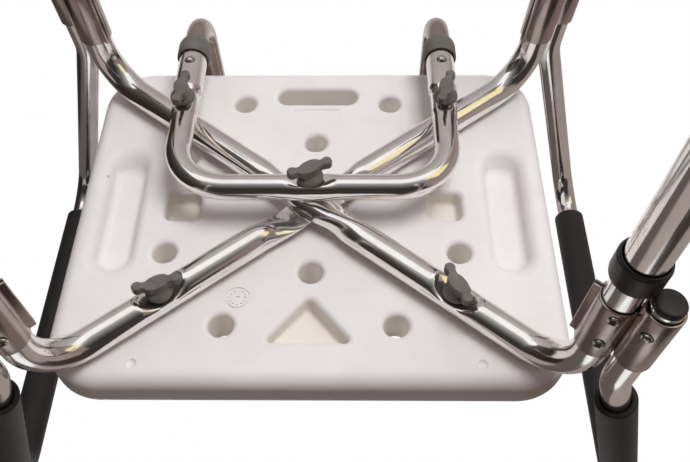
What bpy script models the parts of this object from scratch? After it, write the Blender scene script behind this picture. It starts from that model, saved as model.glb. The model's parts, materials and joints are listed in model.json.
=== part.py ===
"""Shower chair: a moulded seat and back on bent aluminium tubes, with telescopic legs and lift-off arms.

Metres, +Z up, the front of the chair towards -Y, the sitter's left towards +X, the floor at z = 0.
Plan places are measured from the crossing of the two frame tubes, and a drop is measured
downwards from the seat's underside.
"""

import math

import bmesh
import bpy
from mathutils import Matrix, Vector

# Whole chair
UNDERSIDE = 0.342
DEPTH_SHIFT = -0.0478
GAP = 0.0003
TUBE_SIDES = 12
BEND_STEP = math.radians(22.5)
WALL = 0.0012

# Seat panel
SEAT_WIDTH = 0.416
SEAT_DEPTH = 0.346
SEAT_THICK = 0.038
SEAT_BACKSET = 0.010
SEAT_CORNER = 0.045
SEAT_EDGE = 0.013
SHELL_WALL = 0.003
DRAIN_RADIUS = 0.010
DRAIN_PLACES = [
    (0.070, 0.136), (0.118, 0.066), (0.125, -0.040), (0.070, -0.111),
]
CENTRE_DRAINS = [0.085, -0.060]
SLOT_SIZE = (0.077, 0.020)
SLOT_Y = 0.146
SQUARE_SIDE = 0.031
SQUARE_PLACE = (0.115, 0.010)
TRIANGLE_BASE = 0.070
TRIANGLE_DEPTH = 0.042
TRIANGLE_APEX_Y = -0.084
POCKET_DEPTH = 0.016
TROUGH_SIZE = (0.034, 0.136)
TROUGH_PLACE = (0.170, 0.007)
TROUGH_DEPTH = 0.017
VENT_PLACE = (0.0, -0.032)

# Crossed frame tubes
FRAME_RADIUS = 0.0127
CORNER_X = 0.199
CORNER_Y = 0.1594
FRAME_DROP = 0.013
FRAME_BEND = 0.045
BOLT_X = 0.117
PRESSED_BOLT = 0.0050
CROSSING_FLAT = 0.020
CROSSING_FADE = 0.056
BOLT_FLAT = 0.009
BOLT_FADE = 0.024

# Legs, measured along the leg from the frame tube's corner
SPLAY = 0.085
UPPER_LEG_END = 0.287
OUTER_LEG_RADIUS = 0.0147
OUTER_LEG_TOP = 0.1365
OUTER_LEG_END = 0.321
FERRULE_TOP = 0.131
FERRULE_LENGTH = 0.022
FERRULE_RADIUS = 0.0176
FOOT_TOP = 0.294
FOOT_RADIUS = 0.021
LEG_HOLE = 0.259
LEG_PITCH = 0.025
LEG_HOLES = 5
RIVETS = (0.070, 0.0995)
RIVET_TURN = math.radians(20)

# Connectors between the upper legs and the arms
CONNECTOR_TOP = 0.052
CONNECTOR_END = 0.107
SOCKET_TOP = 0.062
SOCKET_END = 0.121
CONNECTOR_WALL = 0.0015
SOCKET_OFFSET = 0.0262
FIN_REACH = 0.0185
FIN_THICK = 0.0056
FIN_SLIT = 0.0016

# Arms
ARM_RADIUS = 0.0111
ARM_X = 0.286
ARM_FRONT_Y = -0.167
ARM_REAR_Y = 0.192
ARM_RISE = 0.200
ARM_BEND = 0.038
KNEE_ALONG = 0.026
KNEE_BEND = 0.060
ARM_INSERT = 0.1255
ARM_BUTTON_ALONG = 0.103
ARM_BUTTON_TURN = math.radians(38)
PLUG_FLANGE = 0.004
PLUG_SPIGOT = (0.0088, 0.009)
GRIP_RADIUS = 0.0160
GRIP_REAR_Y = 0.150
GRIP_END_RISE = -0.004

# Backrest bracket and backrest
BRACKET_RADIUS = 0.0111
BRACKET_BEND = 0.046
BRACKET_DROP = FRAME_DROP + FRAME_RADIUS + GAP + BRACKET_RADIUS
BRACKET_PRESS = 0.0090
MOUTH_RADIUS = 0.0131
MOUTH_START = 0.107
MOUTH_END = 0.166
COLLAR_RADIUS = 0.0155
COLLAR_LENGTH = 0.022
BACK_RADIUS = 0.0110
BACK_INSERT_Y = 0.1135
BACK_POST_Y = 0.220
BACK_BEND = 0.038
BACK_LEAN = math.radians(8)
BACK_LENGTH = 0.400
BACK_TOP_BEND = 0.050
BACK_BUTTON_Y = 0.143
PANEL_WIDTH = 0.390
PANEL_HEIGHT = 0.165
PANEL_THICK = 0.022
PANEL_CORNER = 0.040
PANEL_EDGE = 0.009
PANEL_MIDDLE = 0.288
PANEL_BOW = 0.66
PANEL_SLOT = (0.110, 0.024)
PANEL_SLOT_RISE = 0.042
PANEL_VENT = (0.0, -0.030)

# Fasteners and snap clips
STUD_RADIUS = 0.0030
STUD_HOLE = 0.0037
STUD_IN_SEAT = 0.017
STUD_IN_KNOB = 0.009
WASHER_RADIUS = 0.0085
WASHER_THICK = 0.0014
KNOB_HUB = 0.0115
KNOB_HEIGHT = 0.0145
WING_TOP = 0.0080
WING_SIZE = (0.038, 0.0100)
RIVET_RADIUS = 0.0021
RIVET_HOLE = 0.0026
RIVET_HEAD = 0.0042
SCREW_RADIUS = 0.0021
SCREW_HOLE = 0.0026
SCREW_HEAD = 0.0048
BUTTON_RADIUS = 0.0040
BUTTON_HOLE = 0.0047
BUTTON_PROUD = 0.0028
CLIP_WIDTH = 0.008
CLIP_SPREAD = 0.0080
CLIP_APEX = 0.028
CLIP_TIP = 0.006
CLIP_STRIP = 0.0009

# Corners of the chair: sides and ends as signs of X and Y
SIDES = {"left": 1, "right": -1}
ENDS = {"front": -1, "rear": 1}
DIAGONAL = math.atan2(CORNER_Y, CORNER_X)


def plan(x, y, drop=0.0):
    """Point at a plan place and a drop below the seat's underside."""
    return Vector((x, y + DEPTH_SHIFT, UNDERSIDE - drop))


def clear_scene():
    """Empty the scene of objects and collections."""
    for item in list(bpy.data.objects):
        bpy.data.objects.remove(item, do_unlink=True)
    for group in list(bpy.data.collections):
        bpy.data.collections.remove(group)


def new_collection(name):
    """Collection linked under the scene."""
    group = bpy.data.collections.new(name)
    bpy.context.scene.collection.children.link(group)
    return group


def new_material(name, colour, roughness, metallic=0.0):
    """Principled material of one colour."""
    material = bpy.data.materials.new(name)
    material.use_nodes = True
    shader = material.node_tree.nodes["Principled BSDF"]
    shader.inputs["Base Color"].default_value = (*colour, 1.0)
    shader.inputs["Roughness"].default_value = roughness
    shader.inputs["Metallic"].default_value = metallic
    return material


clear_scene()
PARTS = new_collection("shower_chair")
CUTTERS = new_collection("cutters")
WHITE = new_material("white_moulded_plastic", (0.80, 0.76, 0.74), 0.45)
POLISHED = new_material("polished_aluminium", (0.78, 0.78, 0.77), 0.12, 1.0)
SATIN = new_material("satin_aluminium", (0.62, 0.60, 0.58), 0.30, 1.0)
STEEL = new_material("bright_steel", (0.70, 0.70, 0.69), 0.20, 1.0)
GREY = new_material("grey_plastic", (0.10, 0.097, 0.094), 0.50)
BLACK = new_material("black_plastic", (0.018, 0.017, 0.017), 0.40)
FOAM = new_material("black_foam", (0.014, 0.013, 0.013), 0.90)
RUBBER = new_material("grey_rubber", (0.060, 0.058, 0.056), 0.75)


def new_empty(name, matrix):
    """Guide that carries the pieces of one moving body."""
    empty = bpy.data.objects.new(name, None)
    empty.matrix_world = matrix
    PARTS.objects.link(empty)
    return empty


def mesh_from(bm, name):
    """Mesh of a finished bmesh."""
    mesh = bpy.data.meshes.new(name)
    bm.to_mesh(mesh)
    bm.free()
    return mesh


def add_part(name, mesh, material, parent=None, origin=None):
    """Named piece of the chair, with its origin on its joint's axis where one is given."""
    part = bpy.data.objects.new(name, mesh)
    mesh.materials.append(material)
    mesh.shade_smooth()
    mesh.set_sharp_from_angle(angle=math.radians(35))
    if origin is not None:
        mesh.transform(Matrix.Translation(-origin))
        part.location = origin
    part.parent = parent
    PARTS.objects.link(part)
    return part


def add_cutter(name, mesh, parent=None):
    """Hidden solid that cuts or joins a piece."""
    cutter = bpy.data.objects.new(name, mesh)
    cutter.hide_render = True
    cutter.display_type = 'WIRE'
    cutter.parent = parent
    CUTTERS.objects.link(cutter)
    return cutter


def join_solid(part, other, operation='DIFFERENCE'):
    """Cut another solid from a piece, or join it to the piece."""
    step = part.modifiers.new(operation.lower(), 'BOOLEAN')
    step.operation = operation
    step.solver = 'EXACT'
    step.object = other


def add_wall(part, thickness):
    """Give an open tube its wall, inwards from its outer surface."""
    step = part.modifiers.new("wall", 'SOLIDIFY')
    step.thickness = thickness
    step.offset = -1.0
    step.use_even_offset = True


def add_rod(bm, start, end, radius, sides=None):
    """Add a round rod between two points, with more sides where it is thick."""
    sides = sides or (14 if radius > 0.008 else 8)
    way = end - start
    turn = way.to_track_quat('Z', 'Y').to_matrix().to_4x4()
    middle = Matrix.Translation((start + end) / 2)
    bmesh.ops.create_cone(bm, cap_ends=True, segments=sides, radius1=radius, radius2=radius,
                          depth=way.length, matrix=middle @ turn)


def rods(name, runs, parent=None):
    """Cutter made of round rods, each a start, an end and a radius."""
    bm = bmesh.new()
    for start, end, radius in runs:
        add_rod(bm, start, end, radius)
    return add_cutter(name, mesh_from(bm, name), parent)


def rounded_path(corners, radii, arc_steps=None):
    """Points along straight runs with an arc at each inner corner; radius 0 keeps the corner itself."""
    path = [corners[0]]
    for before, corner, after, radius in zip(corners, corners[1:], corners[2:], radii):
        if radius == 0:
            path.append(corner)
            continue
        way_in = (corner - before).normalized()
        way_out = (after - corner).normalized()
        turn = way_in.angle(way_out)
        centre = corner + (way_out - way_in).normalized() * radius / math.cos(turn / 2)
        spoke = corner - way_in * radius * math.tan(turn / 2) - centre
        axis = way_in.cross(way_out).normalized()
        steps = arc_steps or max(1, round(turn / BEND_STEP))
        for step in range(steps + 1):
            path.append(centre + Matrix.Rotation(turn * step / steps, 3, axis) @ spoke)
    path.append(corners[-1])
    return path


def tube_skin(name, path, radius, widths=None):
    """Open tube surface along a path; widths scale the radius at each point."""
    curve = bpy.data.curves.new(name, 'CURVE')
    curve.dimensions = '3D'
    curve.bevel_depth = radius
    curve.bevel_resolution = TUBE_SIDES // 2 - 2
    spline = curve.splines.new('POLY')
    spline.points.add(len(path) - 1)
    for index, point in enumerate(path):
        spline.points[index].co = (*point, 1.0)
        spline.points[index].radius = widths[index] if widths else 1.0
    guide = bpy.data.objects.new(name, curve)
    CUTTERS.objects.link(guide)
    graph = bpy.context.evaluated_depsgraph_get()
    mesh = bpy.data.meshes.new_from_object(guide.evaluated_get(graph))
    bpy.data.objects.remove(guide)
    bm = bmesh.new()
    bm.from_mesh(mesh)
    bmesh.ops.remove_doubles(bm, verts=bm.verts, dist=1e-6)
    bm.to_mesh(mesh)
    bm.free()
    mesh.materials.clear()
    return mesh


def press_tube(mesh, middle, along, flat, fade, low, high):
    """Squeeze a tube between two heights near one point of its run, fading out along it."""
    for vertex in mesh.vertices:
        offset = vertex.co - middle
        travel = abs(offset.dot(along))
        aside = (offset - along * offset.dot(along)).length
        if travel >= fade or aside > 2 * FRAME_RADIUS:
            continue
        share = min(1.0, (fade - travel) / (fade - flat))
        share = share * share * (3 - 2 * share)
        squeezed = min(max(offset.z, low), high)
        vertex.co.z += share * (squeezed - offset.z)


def rounded_slab(width, depth, thick, corner, edge, corner_steps=5, edge_steps=2):
    """Slab about the origin with round corners in plan and round upper and lower edges."""
    bm = bmesh.new()
    bmesh.ops.create_cube(bm, size=1.0)
    bmesh.ops.scale(bm, verts=bm.verts, vec=(width, depth, thick))
    uprights = [e for e in bm.edges if abs(e.verts[0].co.z - e.verts[1].co.z) > thick / 2]
    bmesh.ops.bevel(bm, geom=uprights, offset=corner, segments=corner_steps, profile=0.5,
                    affect='EDGES', material=-1)
    rims = [e for e in bm.edges if abs(e.verts[0].co.z - e.verts[1].co.z) < thick / 2]
    bmesh.ops.bevel(bm, geom=rims, offset=edge, segments=edge_steps, profile=0.5,
                    affect='EDGES', material=-1)
    return bm


def rounded_outline(corners, radius, steps=3):
    """Closed outline in the XY plane with every corner rounded."""
    flat = [Vector((x, y, 0.0)) for x, y in corners]
    outline = []
    for index, corner in enumerate(flat):
        trio = [flat[index - 1], corner, flat[(index + 1) % len(flat)]]
        outline.extend(rounded_path(trio, [radius], steps)[1:-1])
    return outline


def box_corners(width, depth):
    """Corners of a rectangle about the origin, counter-clockwise."""
    x, y = width / 2, depth / 2
    return [(-x, -y), (x, -y), (x, y), (-x, y)]


def add_pocket(bm, outline, place, low, high, taper=1.0):
    """Add a solid over an outline between two heights, drawn in towards its upper end."""
    foot = [bm.verts.new((point.x + place[0], point.y + place[1], low)) for point in outline]
    face = bm.faces.new(foot)
    raised = bmesh.ops.extrude_face_region(bm, geom=[face])["geom"]
    top = [item for item in raised if isinstance(item, bmesh.types.BMVert)]
    for vertex in top:
        vertex.co.x = place[0] + (vertex.co.x - place[0]) * taper
        vertex.co.y = place[1] + (vertex.co.y - place[1]) * taper
        vertex.co.z = high
    bmesh.ops.recalc_face_normals(bm, faces=bm.faces)


def turned(name, profile, sides=14, closed=False):
    """Mesh turned about Z from a profile of radius and height, given down its outer side."""
    mesh = bpy.data.meshes.new(name)
    count = len(profile)
    edges = [(index, index + 1) for index in range(count - 1)]
    if closed:
        edges.append((count - 1, 0))
    mesh.from_pydata([(radius, 0.0, height) for radius, height in profile], edges, [])
    guide = bpy.data.objects.new(name, mesh)
    CUTTERS.objects.link(guide)
    step = guide.modifiers.new("turn", 'SCREW')
    step.steps = sides
    step.render_steps = sides
    step.use_merge_vertices = True
    step.merge_threshold = 1e-5
    graph = bpy.context.evaluated_depsgraph_get()
    solid = bpy.data.meshes.new_from_object(guide.evaluated_get(graph))
    bpy.data.objects.remove(guide)
    return solid


def seat_openings(bm, grow):
    """Add every hole and pocket of the seat, grown by a wall where the hollow must clear them."""
    through_low = UNDERSIDE - SEAT_EDGE
    through_high = UNDERSIDE + SEAT_THICK + SEAT_EDGE
    places = [(side * x, y) for x, y in DRAIN_PLACES for side in SIDES.values()]
    places += [(0.0, y) for y in CENTRE_DRAINS]
    for x, y in places:
        foot = Vector((x, y + DEPTH_SHIFT, through_low))
        add_rod(bm, foot, Vector((foot.x, foot.y, through_high)), DRAIN_RADIUS + grow, 8 if grow else 12)
    slot = box_corners(SLOT_SIZE[0] + 2 * grow, SLOT_SIZE[1] + 2 * grow)
    slot = rounded_outline(slot, SLOT_SIZE[1] * 0.48 + grow, 2 if grow else 3)
    add_pocket(bm, slot, (0.0, SLOT_Y + DEPTH_SHIFT), through_low, through_high)
    pocket_top = UNDERSIDE + POCKET_DEPTH + grow
    square = box_corners(SQUARE_SIDE + 2 * grow, SQUARE_SIDE + 2 * grow)
    square = rounded_outline(square, 0.006, 1 if grow else 2)
    trough = box_corners(TROUGH_SIZE[0] + 2 * grow, TROUGH_SIZE[1] + 2 * grow)
    trough = rounded_outline(trough, TROUGH_SIZE[0] * 0.48 + grow, 2 if grow else 3)
    for side in SIDES.values():
        place = (side * SQUARE_PLACE[0], SQUARE_PLACE[1] + DEPTH_SHIFT)
        add_pocket(bm, square, place, through_low, pocket_top, 0.85)
        place = (side * TROUGH_PLACE[0], TROUGH_PLACE[1] + DEPTH_SHIFT)
        add_pocket(bm, trough, place, through_low, UNDERSIDE + TROUGH_DEPTH + grow, 0.85)
    half = TRIANGLE_BASE / 2 + 3 * grow
    low = -TRIANGLE_DEPTH * 0.5 - 1.3 * grow
    high = TRIANGLE_DEPTH * 0.5 + 3 * grow
    triangle = rounded_outline([(-half, low), (half, low), (0.0, high)], 0.007, 1 if grow else 2)
    place = (0.0, TRIANGLE_APEX_Y - TRIANGLE_DEPTH / 2 + DEPTH_SHIFT)
    add_pocket(bm, triangle, place, through_low, pocket_top, 0.85)


def bolt_places():
    """Plan places of the five bolts, each with whether it goes through the bracket."""
    bolt_y = BOLT_X * CORNER_Y / CORNER_X
    return {
        "front_left": (BOLT_X, -bolt_y, False),
        "front_right": (-BOLT_X, -bolt_y, False),
        "rear_left": (BOLT_X, bolt_y, True),
        "rear_right": (-BOLT_X, bolt_y, True),
        "centre": (0.0, 0.0, True),
    }


def bolt_runs(radius, top_rise, depth):
    """Rods up every bolt's line, for the holes that the studs pass through."""
    runs = []
    for x, y, _ in bolt_places().values():
        runs.append((plan(x, y, depth), plan(x, y, -top_rise), radius))
    return runs


def build_seat():
    """Hollow moulded seat with its drain holes, pockets, troughs and bolt holes."""
    middle = Matrix.Translation((0.0, SEAT_BACKSET + DEPTH_SHIFT, UNDERSIDE + SEAT_THICK / 2))
    outer = rounded_slab(SEAT_WIDTH, SEAT_DEPTH, SEAT_THICK, SEAT_CORNER, SEAT_EDGE)
    bmesh.ops.transform(outer, matrix=middle, verts=outer.verts)
    seat = add_part("seat_panel", mesh_from(outer, "seat_panel"), WHITE)

    openings = bmesh.new()
    seat_openings(openings, 0.0)
    join_solid(seat, add_cutter("seat_openings", mesh_from(openings, "seat_openings")))

    trim = 2 * SHELL_WALL
    hollow = rounded_slab(SEAT_WIDTH - trim, SEAT_DEPTH - trim, SEAT_THICK - trim,
                          SEAT_CORNER - SHELL_WALL, SEAT_EDGE - SHELL_WALL, 3, 1)
    bmesh.ops.transform(hollow, matrix=middle, verts=hollow.verts)
    hollow = add_cutter("seat_hollow", mesh_from(hollow, "seat_hollow"))
    posts = bmesh.new()
    seat_openings(posts, SHELL_WALL)
    join_solid(hollow, add_cutter("seat_posts", mesh_from(posts, "seat_posts")))
    boss_radius = STUD_HOLE + SHELL_WALL
    join_solid(hollow, rods("seat_bosses", bolt_runs(boss_radius, SEAT_THICK, SEAT_EDGE)))
    join_solid(seat, hollow)

    holes = bolt_runs(STUD_HOLE, STUD_IN_SEAT + 0.002, SEAT_EDGE)
    vent_x, vent_y = VENT_PLACE
    holes.append((plan(vent_x, vent_y, SEAT_EDGE), plan(vent_x, vent_y, -2 * SHELL_WALL), 0.0025))
    join_solid(seat, rods("seat_bolt_holes", holes))


def leg_matrix(side, end):
    """Frame of one leg: origin at the frame tube's corner, Z up along the leg, X outwards."""
    up = Vector((-side * SPLAY, 0.0, 1.0)).normalized()
    out = Vector((side, 0.0, 0.0))
    out = (out - up * out.dot(up)).normalized()
    across = up.cross(out)
    turn = Matrix((out, across, up)).transposed().to_4x4()
    return Matrix.Translation(plan(side * CORNER_X, end * CORNER_Y, FRAME_DROP)) @ turn


def leg_point(side, end, along, x=0.0, y=0.0):
    """World place of a point a distance down one leg, with offsets in the leg's own frame."""
    return leg_matrix(side, end) @ Vector((x, y, -along))


def inward_face(mirror, turn):
    """Way out of a leg's front or rear face, turned towards the chair's middle, in the leg's frame."""
    return Vector((-math.sin(turn), mirror * math.cos(turn), 0.0))


def rivet_runs(mirror, inner, outer, radius):
    """Rods for a leg's two rivets, on its front or rear face, in the leg's frame."""
    face = inward_face(mirror, RIVET_TURN)
    return [(face * inner - Vector((0, 0, along)), face * outer - Vector((0, 0, along)), radius)
            for along in RIVETS]


def build_cross_tube(name, side, low, high):
    """One frame tube: leg, corner, straight run through the crossing, corner and leg."""
    front = plan(side * CORNER_X, -CORNER_Y, FRAME_DROP)
    rear = plan(-side * CORNER_X, CORNER_Y, FRAME_DROP)
    middle = plan(0.0, 0.0, FRAME_DROP)
    along = (rear - front).normalized()
    bolt = math.hypot(BOLT_X, BOLT_X * CORNER_Y / CORNER_X)
    reaches = [CROSSING_FLAT, (CROSSING_FLAT + CROSSING_FADE) / 2, CROSSING_FADE]
    dish = [BOLT_FLAT, (BOLT_FLAT + BOLT_FADE) / 2, BOLT_FADE]
    stations = [-reach for reach in reaches] + reaches
    stations += [way * reach - bolt for reach in dish for way in (-1, 1)]
    stations.sort()
    corners = [leg_point(side, -1, UPPER_LEG_END), front]
    corners += [middle + along * station for station in stations]
    corners += [rear, leg_point(-side, 1, UPPER_LEG_END)]
    radii = [FRAME_BEND] + [0] * len(stations) + [FRAME_BEND]
    mesh = tube_skin(name, rounded_path(corners, radii), FRAME_RADIUS)
    press_tube(mesh, middle, along, CROSSING_FLAT, CROSSING_FADE, low, high)
    press_tube(mesh, middle - along * bolt, along, BOLT_FLAT, BOLT_FADE, -PRESSED_BOLT, FRAME_RADIUS)
    tube = add_part(name, mesh, POLISHED)
    add_wall(tube, WALL)
    holes = bolt_runs(STUD_HOLE, 0.0, 2 * FRAME_DROP)
    for leg_side, end in ((side, -1), (-side, 1)):
        frame = leg_matrix(leg_side, end)
        runs = rivet_runs(leg_side * end, 0.006, 0.020, RIVET_HOLE)
        button = Vector((0, 0, -LEG_HOLE))
        runs.append((button, button + Vector((0.020, 0, 0)), BUTTON_HOLE))
        holes += [(frame @ start, frame @ stop, radius) for start, stop, radius in runs]
    join_solid(tube, rods(name + "_holes", holes))


def build_bracket():
    """U-shaped tube over the crossing, with widened mouths that take the backrest."""
    bolt_y = BOLT_X * CORNER_Y / CORNER_X
    fade = MOUTH_START - bolt_y
    stations = [MOUTH_END, MOUTH_START + 0.006, MOUTH_START]
    stations += [bolt_y + BOLT_FLAT, bolt_y - BOLT_FLAT, bolt_y - fade]
    left = [plan(BOLT_X, y, BRACKET_DROP) for y in stations]
    right = [plan(-BOLT_X, y, BRACKET_DROP) for y in reversed(stations)]
    half_run = [BOLT_X, BOLT_FADE, BOLT_FLAT]
    across_run = half_run + [-x for x in reversed(half_run)]
    across = [plan(x, 0.0, BRACKET_DROP) for x in across_run]
    corners = left + across + right
    straight = len(left) - 1
    radii = [0] * straight + [BRACKET_BEND] + [0] * (len(across) - 2) + [BRACKET_BEND] + [0] * straight
    path = rounded_path(corners, radii)
    widths = []
    for point in path:
        beyond = point.y - DEPTH_SHIFT - MOUTH_START
        share = min(max(beyond / 0.006, 0.0), 1.0)
        widths.append(1.0 + share * (MOUTH_RADIUS / BRACKET_RADIUS - 1.0))
    mesh = tube_skin("backrest_bracket", path, BRACKET_RADIUS, widths)
    sideways = Vector((1.0, 0.0, 0.0))
    press_tube(mesh, plan(0.0, 0.0, BRACKET_DROP), sideways, BOLT_FLAT, BOLT_FADE,
               -BRACKET_PRESS, BRACKET_RADIUS)
    for side in SIDES.values():
        press_tube(mesh, plan(side * BOLT_X, bolt_y, BRACKET_DROP), Vector((0.0, 1.0, 0.0)),
                   BOLT_FLAT, fade, -BRACKET_PRESS, BRACKET_RADIUS)
    bracket = add_part("backrest_bracket", mesh, POLISHED)
    add_wall(bracket, WALL)
    holes = bolt_runs(STUD_HOLE, 0.0, BRACKET_DROP + 2 * BRACKET_RADIUS)
    for side in SIDES.values():
        centre = plan(side * BOLT_X, BACK_BUTTON_Y, BRACKET_DROP)
        holes.append((centre, centre - Vector((0.0, 0.0, 0.020)), BUTTON_HOLE))
    join_solid(bracket, rods("bracket_holes", holes))


def build_knobs():
    """Wing knobs and their steel studs, each pair turning about its bolt's line."""
    turns = {"front_left": 150, "front_right": 55, "rear_left": 85, "rear_right": 95, "centre": 145}
    for place, (x, y, on_bracket) in bolt_places().items():
        drop = BRACKET_DROP + BRACKET_PRESS if on_bracket else FRAME_DROP + PRESSED_BOLT
        washer = drop + GAP
        frame = Matrix.Translation(plan(x, y, washer)) @ Matrix.Rotation(math.radians(turns[place]), 4, 'Z')
        pivot = new_empty("knob_pivot_" + place, frame)
        stud_top = washer + STUD_IN_SEAT
        stud = turned("knob_stud_" + place, [
            (0.0, stud_top), (STUD_RADIUS - 0.001, stud_top), (STUD_RADIUS, stud_top - 0.001),
            (STUD_RADIUS, 0.0), (WASHER_RADIUS, 0.0), (WASHER_RADIUS, -WASHER_THICK),
            (STUD_RADIUS, -WASHER_THICK), (STUD_RADIUS, -WASHER_THICK - STUD_IN_KNOB),
            (0.0, -WASHER_THICK - STUD_IN_KNOB)], 10)
        add_part("knob_stud_" + place, stud, STEEL, pivot)
        top = -WASHER_THICK - GAP
        low = top - KNOB_HEIGHT
        hub = turned("wing_knob_" + place, [
            (0.0, top), (KNOB_HUB - 0.001, top), (KNOB_HUB, top - 0.001), (KNOB_HUB - 0.001, low + 0.003),
            (KNOB_HUB - 0.004, low), (0.0, low)], 14)
        knob = add_part("wing_knob_" + place, hub, GREY, pivot)
        wing = bmesh.new()
        outline = rounded_outline(box_corners(*WING_SIZE), WING_SIZE[1] * 0.48)
        add_pocket(wing, outline, (0.0, 0.0), low - 0.003, -WING_TOP)
        join_solid(knob, add_cutter("wing_" + place, mesh_from(wing, "wing"), pivot), 'UNION')
        bore = (Vector((0, 0, 0.002)), Vector((0, 0, -WASHER_THICK - STUD_IN_KNOB - GAP)), STUD_HOLE)
        join_solid(knob, rods("knob_bore_" + place, [bore], pivot))


def clip_mesh(name):
    """V-shaped spring strip of a snap clip, with its bend towards -Z."""
    bm = bmesh.new()
    line = [(CLIP_SPREAD, CLIP_TIP), (0.001, -CLIP_APEX), (-0.001, -CLIP_APEX), (-CLIP_SPREAD, CLIP_TIP)]
    verts = [bm.verts.new((x, -CLIP_WIDTH / 2, z)) for x, z in line]
    edges = [bm.edges.new(pair) for pair in zip(verts, verts[1:])]
    swept = bmesh.ops.extrude_edge_only(bm, edges=edges)["geom"]
    moved = [item for item in swept if isinstance(item, bmesh.types.BMVert)]
    bmesh.ops.translate(bm, verts=moved, vec=(0.0, CLIP_WIDTH, 0.0))
    bmesh.ops.recalc_face_normals(bm, faces=bm.faces)
    bmesh.ops.solidify(bm, geom=bm.faces[:], thickness=CLIP_STRIP)
    bmesh.ops.recalc_face_normals(bm, faces=bm.faces)
    return mesh_from(bm, name)


def build_clip(name, frame, reach):
    """Snap clip in a tube, in a frame whose X is the button's way out and Z the tube's line."""
    pivot = new_empty(name + "_pivot", frame)
    clip = add_part(name, clip_mesh(name), STEEL, pivot)
    strip_at_button = CLIP_SPREAD * CLIP_APEX / (CLIP_APEX + CLIP_TIP)
    button = [(Vector((strip_at_button - 0.001, 0, 0)), Vector((reach, 0, 0)), BUTTON_RADIUS)]
    join_solid(clip, rods(name + "_button", button, pivot), 'UNION')


def diagonal_way(mirror):
    """Unit vector from a leg towards its arm socket, in the leg's frame."""
    return Vector((math.cos(DIAGONAL), mirror * math.sin(DIAGONAL), 0.0))


def build_leg(side_name, end_name):
    """Upper fittings and sliding outer leg of one corner."""
    side, end = SIDES[side_name], ENDS[end_name]
    mirror = side * end
    place = end_name + "_" + side_name
    frame = leg_matrix(side, end)
    fixed = new_empty("leg_line_" + place, frame)
    slider = new_empty("leg_slide_" + place, frame)
    low = Vector((0, 0, -CONNECTOR_END))
    high = Vector((0, 0, -CONNECTOR_TOP))
    way = diagonal_way(mirror)
    socket = way * SOCKET_OFFSET

    ring = bmesh.new()
    add_rod(ring, low, high, FRAME_RADIUS + GAP + CONNECTOR_WALL)
    connector = add_part("arm_connector_" + place, mesh_from(ring, "connector"), SATIN, fixed)
    barrel = bmesh.new()
    socket_high = Vector((0, 0, -SOCKET_TOP)) + socket
    socket_low = Vector((0, 0, -SOCKET_END)) + socket
    add_rod(barrel, socket_low, socket_high, ARM_RADIUS + GAP + 0.0004 + CONNECTOR_WALL)
    barrel = add_cutter("connector_barrel_" + place, mesh_from(barrel, "barrel"), fixed)
    join_solid(connector, barrel, 'UNION')
    fin = bmesh.new()
    bmesh.ops.create_cube(fin, size=1.0)
    reach = FIN_REACH - FRAME_RADIUS
    fin_middle = -(CONNECTOR_END + CONNECTOR_TOP) / 2
    bmesh.ops.scale(fin, verts=fin.verts, vec=(reach, FIN_THICK, CONNECTOR_END - CONNECTOR_TOP))
    turn = Matrix.Rotation(math.atan2(way.y, way.x), 4, 'Z')
    shift = Matrix.Translation((-(FRAME_RADIUS + reach / 2 + 0.0008), 0, fin_middle))
    bmesh.ops.transform(fin, matrix=turn @ shift, verts=fin.verts)
    join_solid(connector, add_cutter("connector_fin_" + place, mesh_from(fin, "fin"), fixed), 'UNION')
    past = Vector((0, 0, 0.005))
    slit = bmesh.new()
    bmesh.ops.create_cube(slit, size=1.0)
    bmesh.ops.scale(slit, verts=slit.verts, vec=(FIN_REACH, FIN_SLIT, 0.1))
    shift = Matrix.Translation((-(FRAME_RADIUS - 0.003 + FIN_REACH / 2), 0, fin_middle))
    bmesh.ops.transform(slit, matrix=turn @ shift, verts=slit.verts)
    join_solid(connector, add_cutter("connector_slit_" + place, mesh_from(slit, "slit"), fixed))
    deep = Vector((0, 0, -SOCKET_END)) - past
    bores = [(deep, high + past, FRAME_RADIUS + 2 * GAP),
             (deep + socket, high + socket + past, ARM_RADIUS + 0.0007)]
    join_solid(connector, rods("connector_bores_" + place, bores, fixed))
    holes = rivet_runs(mirror, 0.008, 0.022, RIVET_HOLE)
    if end_name == "front":
        hole = socket - Vector((0, 0, ARM_BUTTON_ALONG))
        holes.append((hole, hole + inward_face(mirror, ARM_BUTTON_TURN) * 0.022, BUTTON_HOLE))
    join_solid(connector, rods("connector_holes_" + place, holes, fixed))

    outer = [Vector((0, 0, -OUTER_LEG_TOP)), Vector((0, 0, -OUTER_LEG_END))]
    tube = add_part("outer_leg_" + place, tube_skin("outer_leg", outer, OUTER_LEG_RADIUS), POLISHED, slider)
    add_wall(tube, WALL)
    holes = []
    for step in range(LEG_HOLES):
        start = Vector((0, 0, -LEG_HOLE + step * LEG_PITCH))
        holes.append((start, start + Vector((0.020, 0, 0)), BUTTON_HOLE))
    join_solid(tube, rods("outer_leg_holes_" + place, holes, slider))

    build_leg_trim(place, slider)
    build_rivets(place, mirror, fixed)
    button_frame = frame @ Matrix.Translation((0, 0, -LEG_HOLE))
    build_clip("leg_clip_" + place, button_frame, OUTER_LEG_RADIUS + BUTTON_PROUD)


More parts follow.
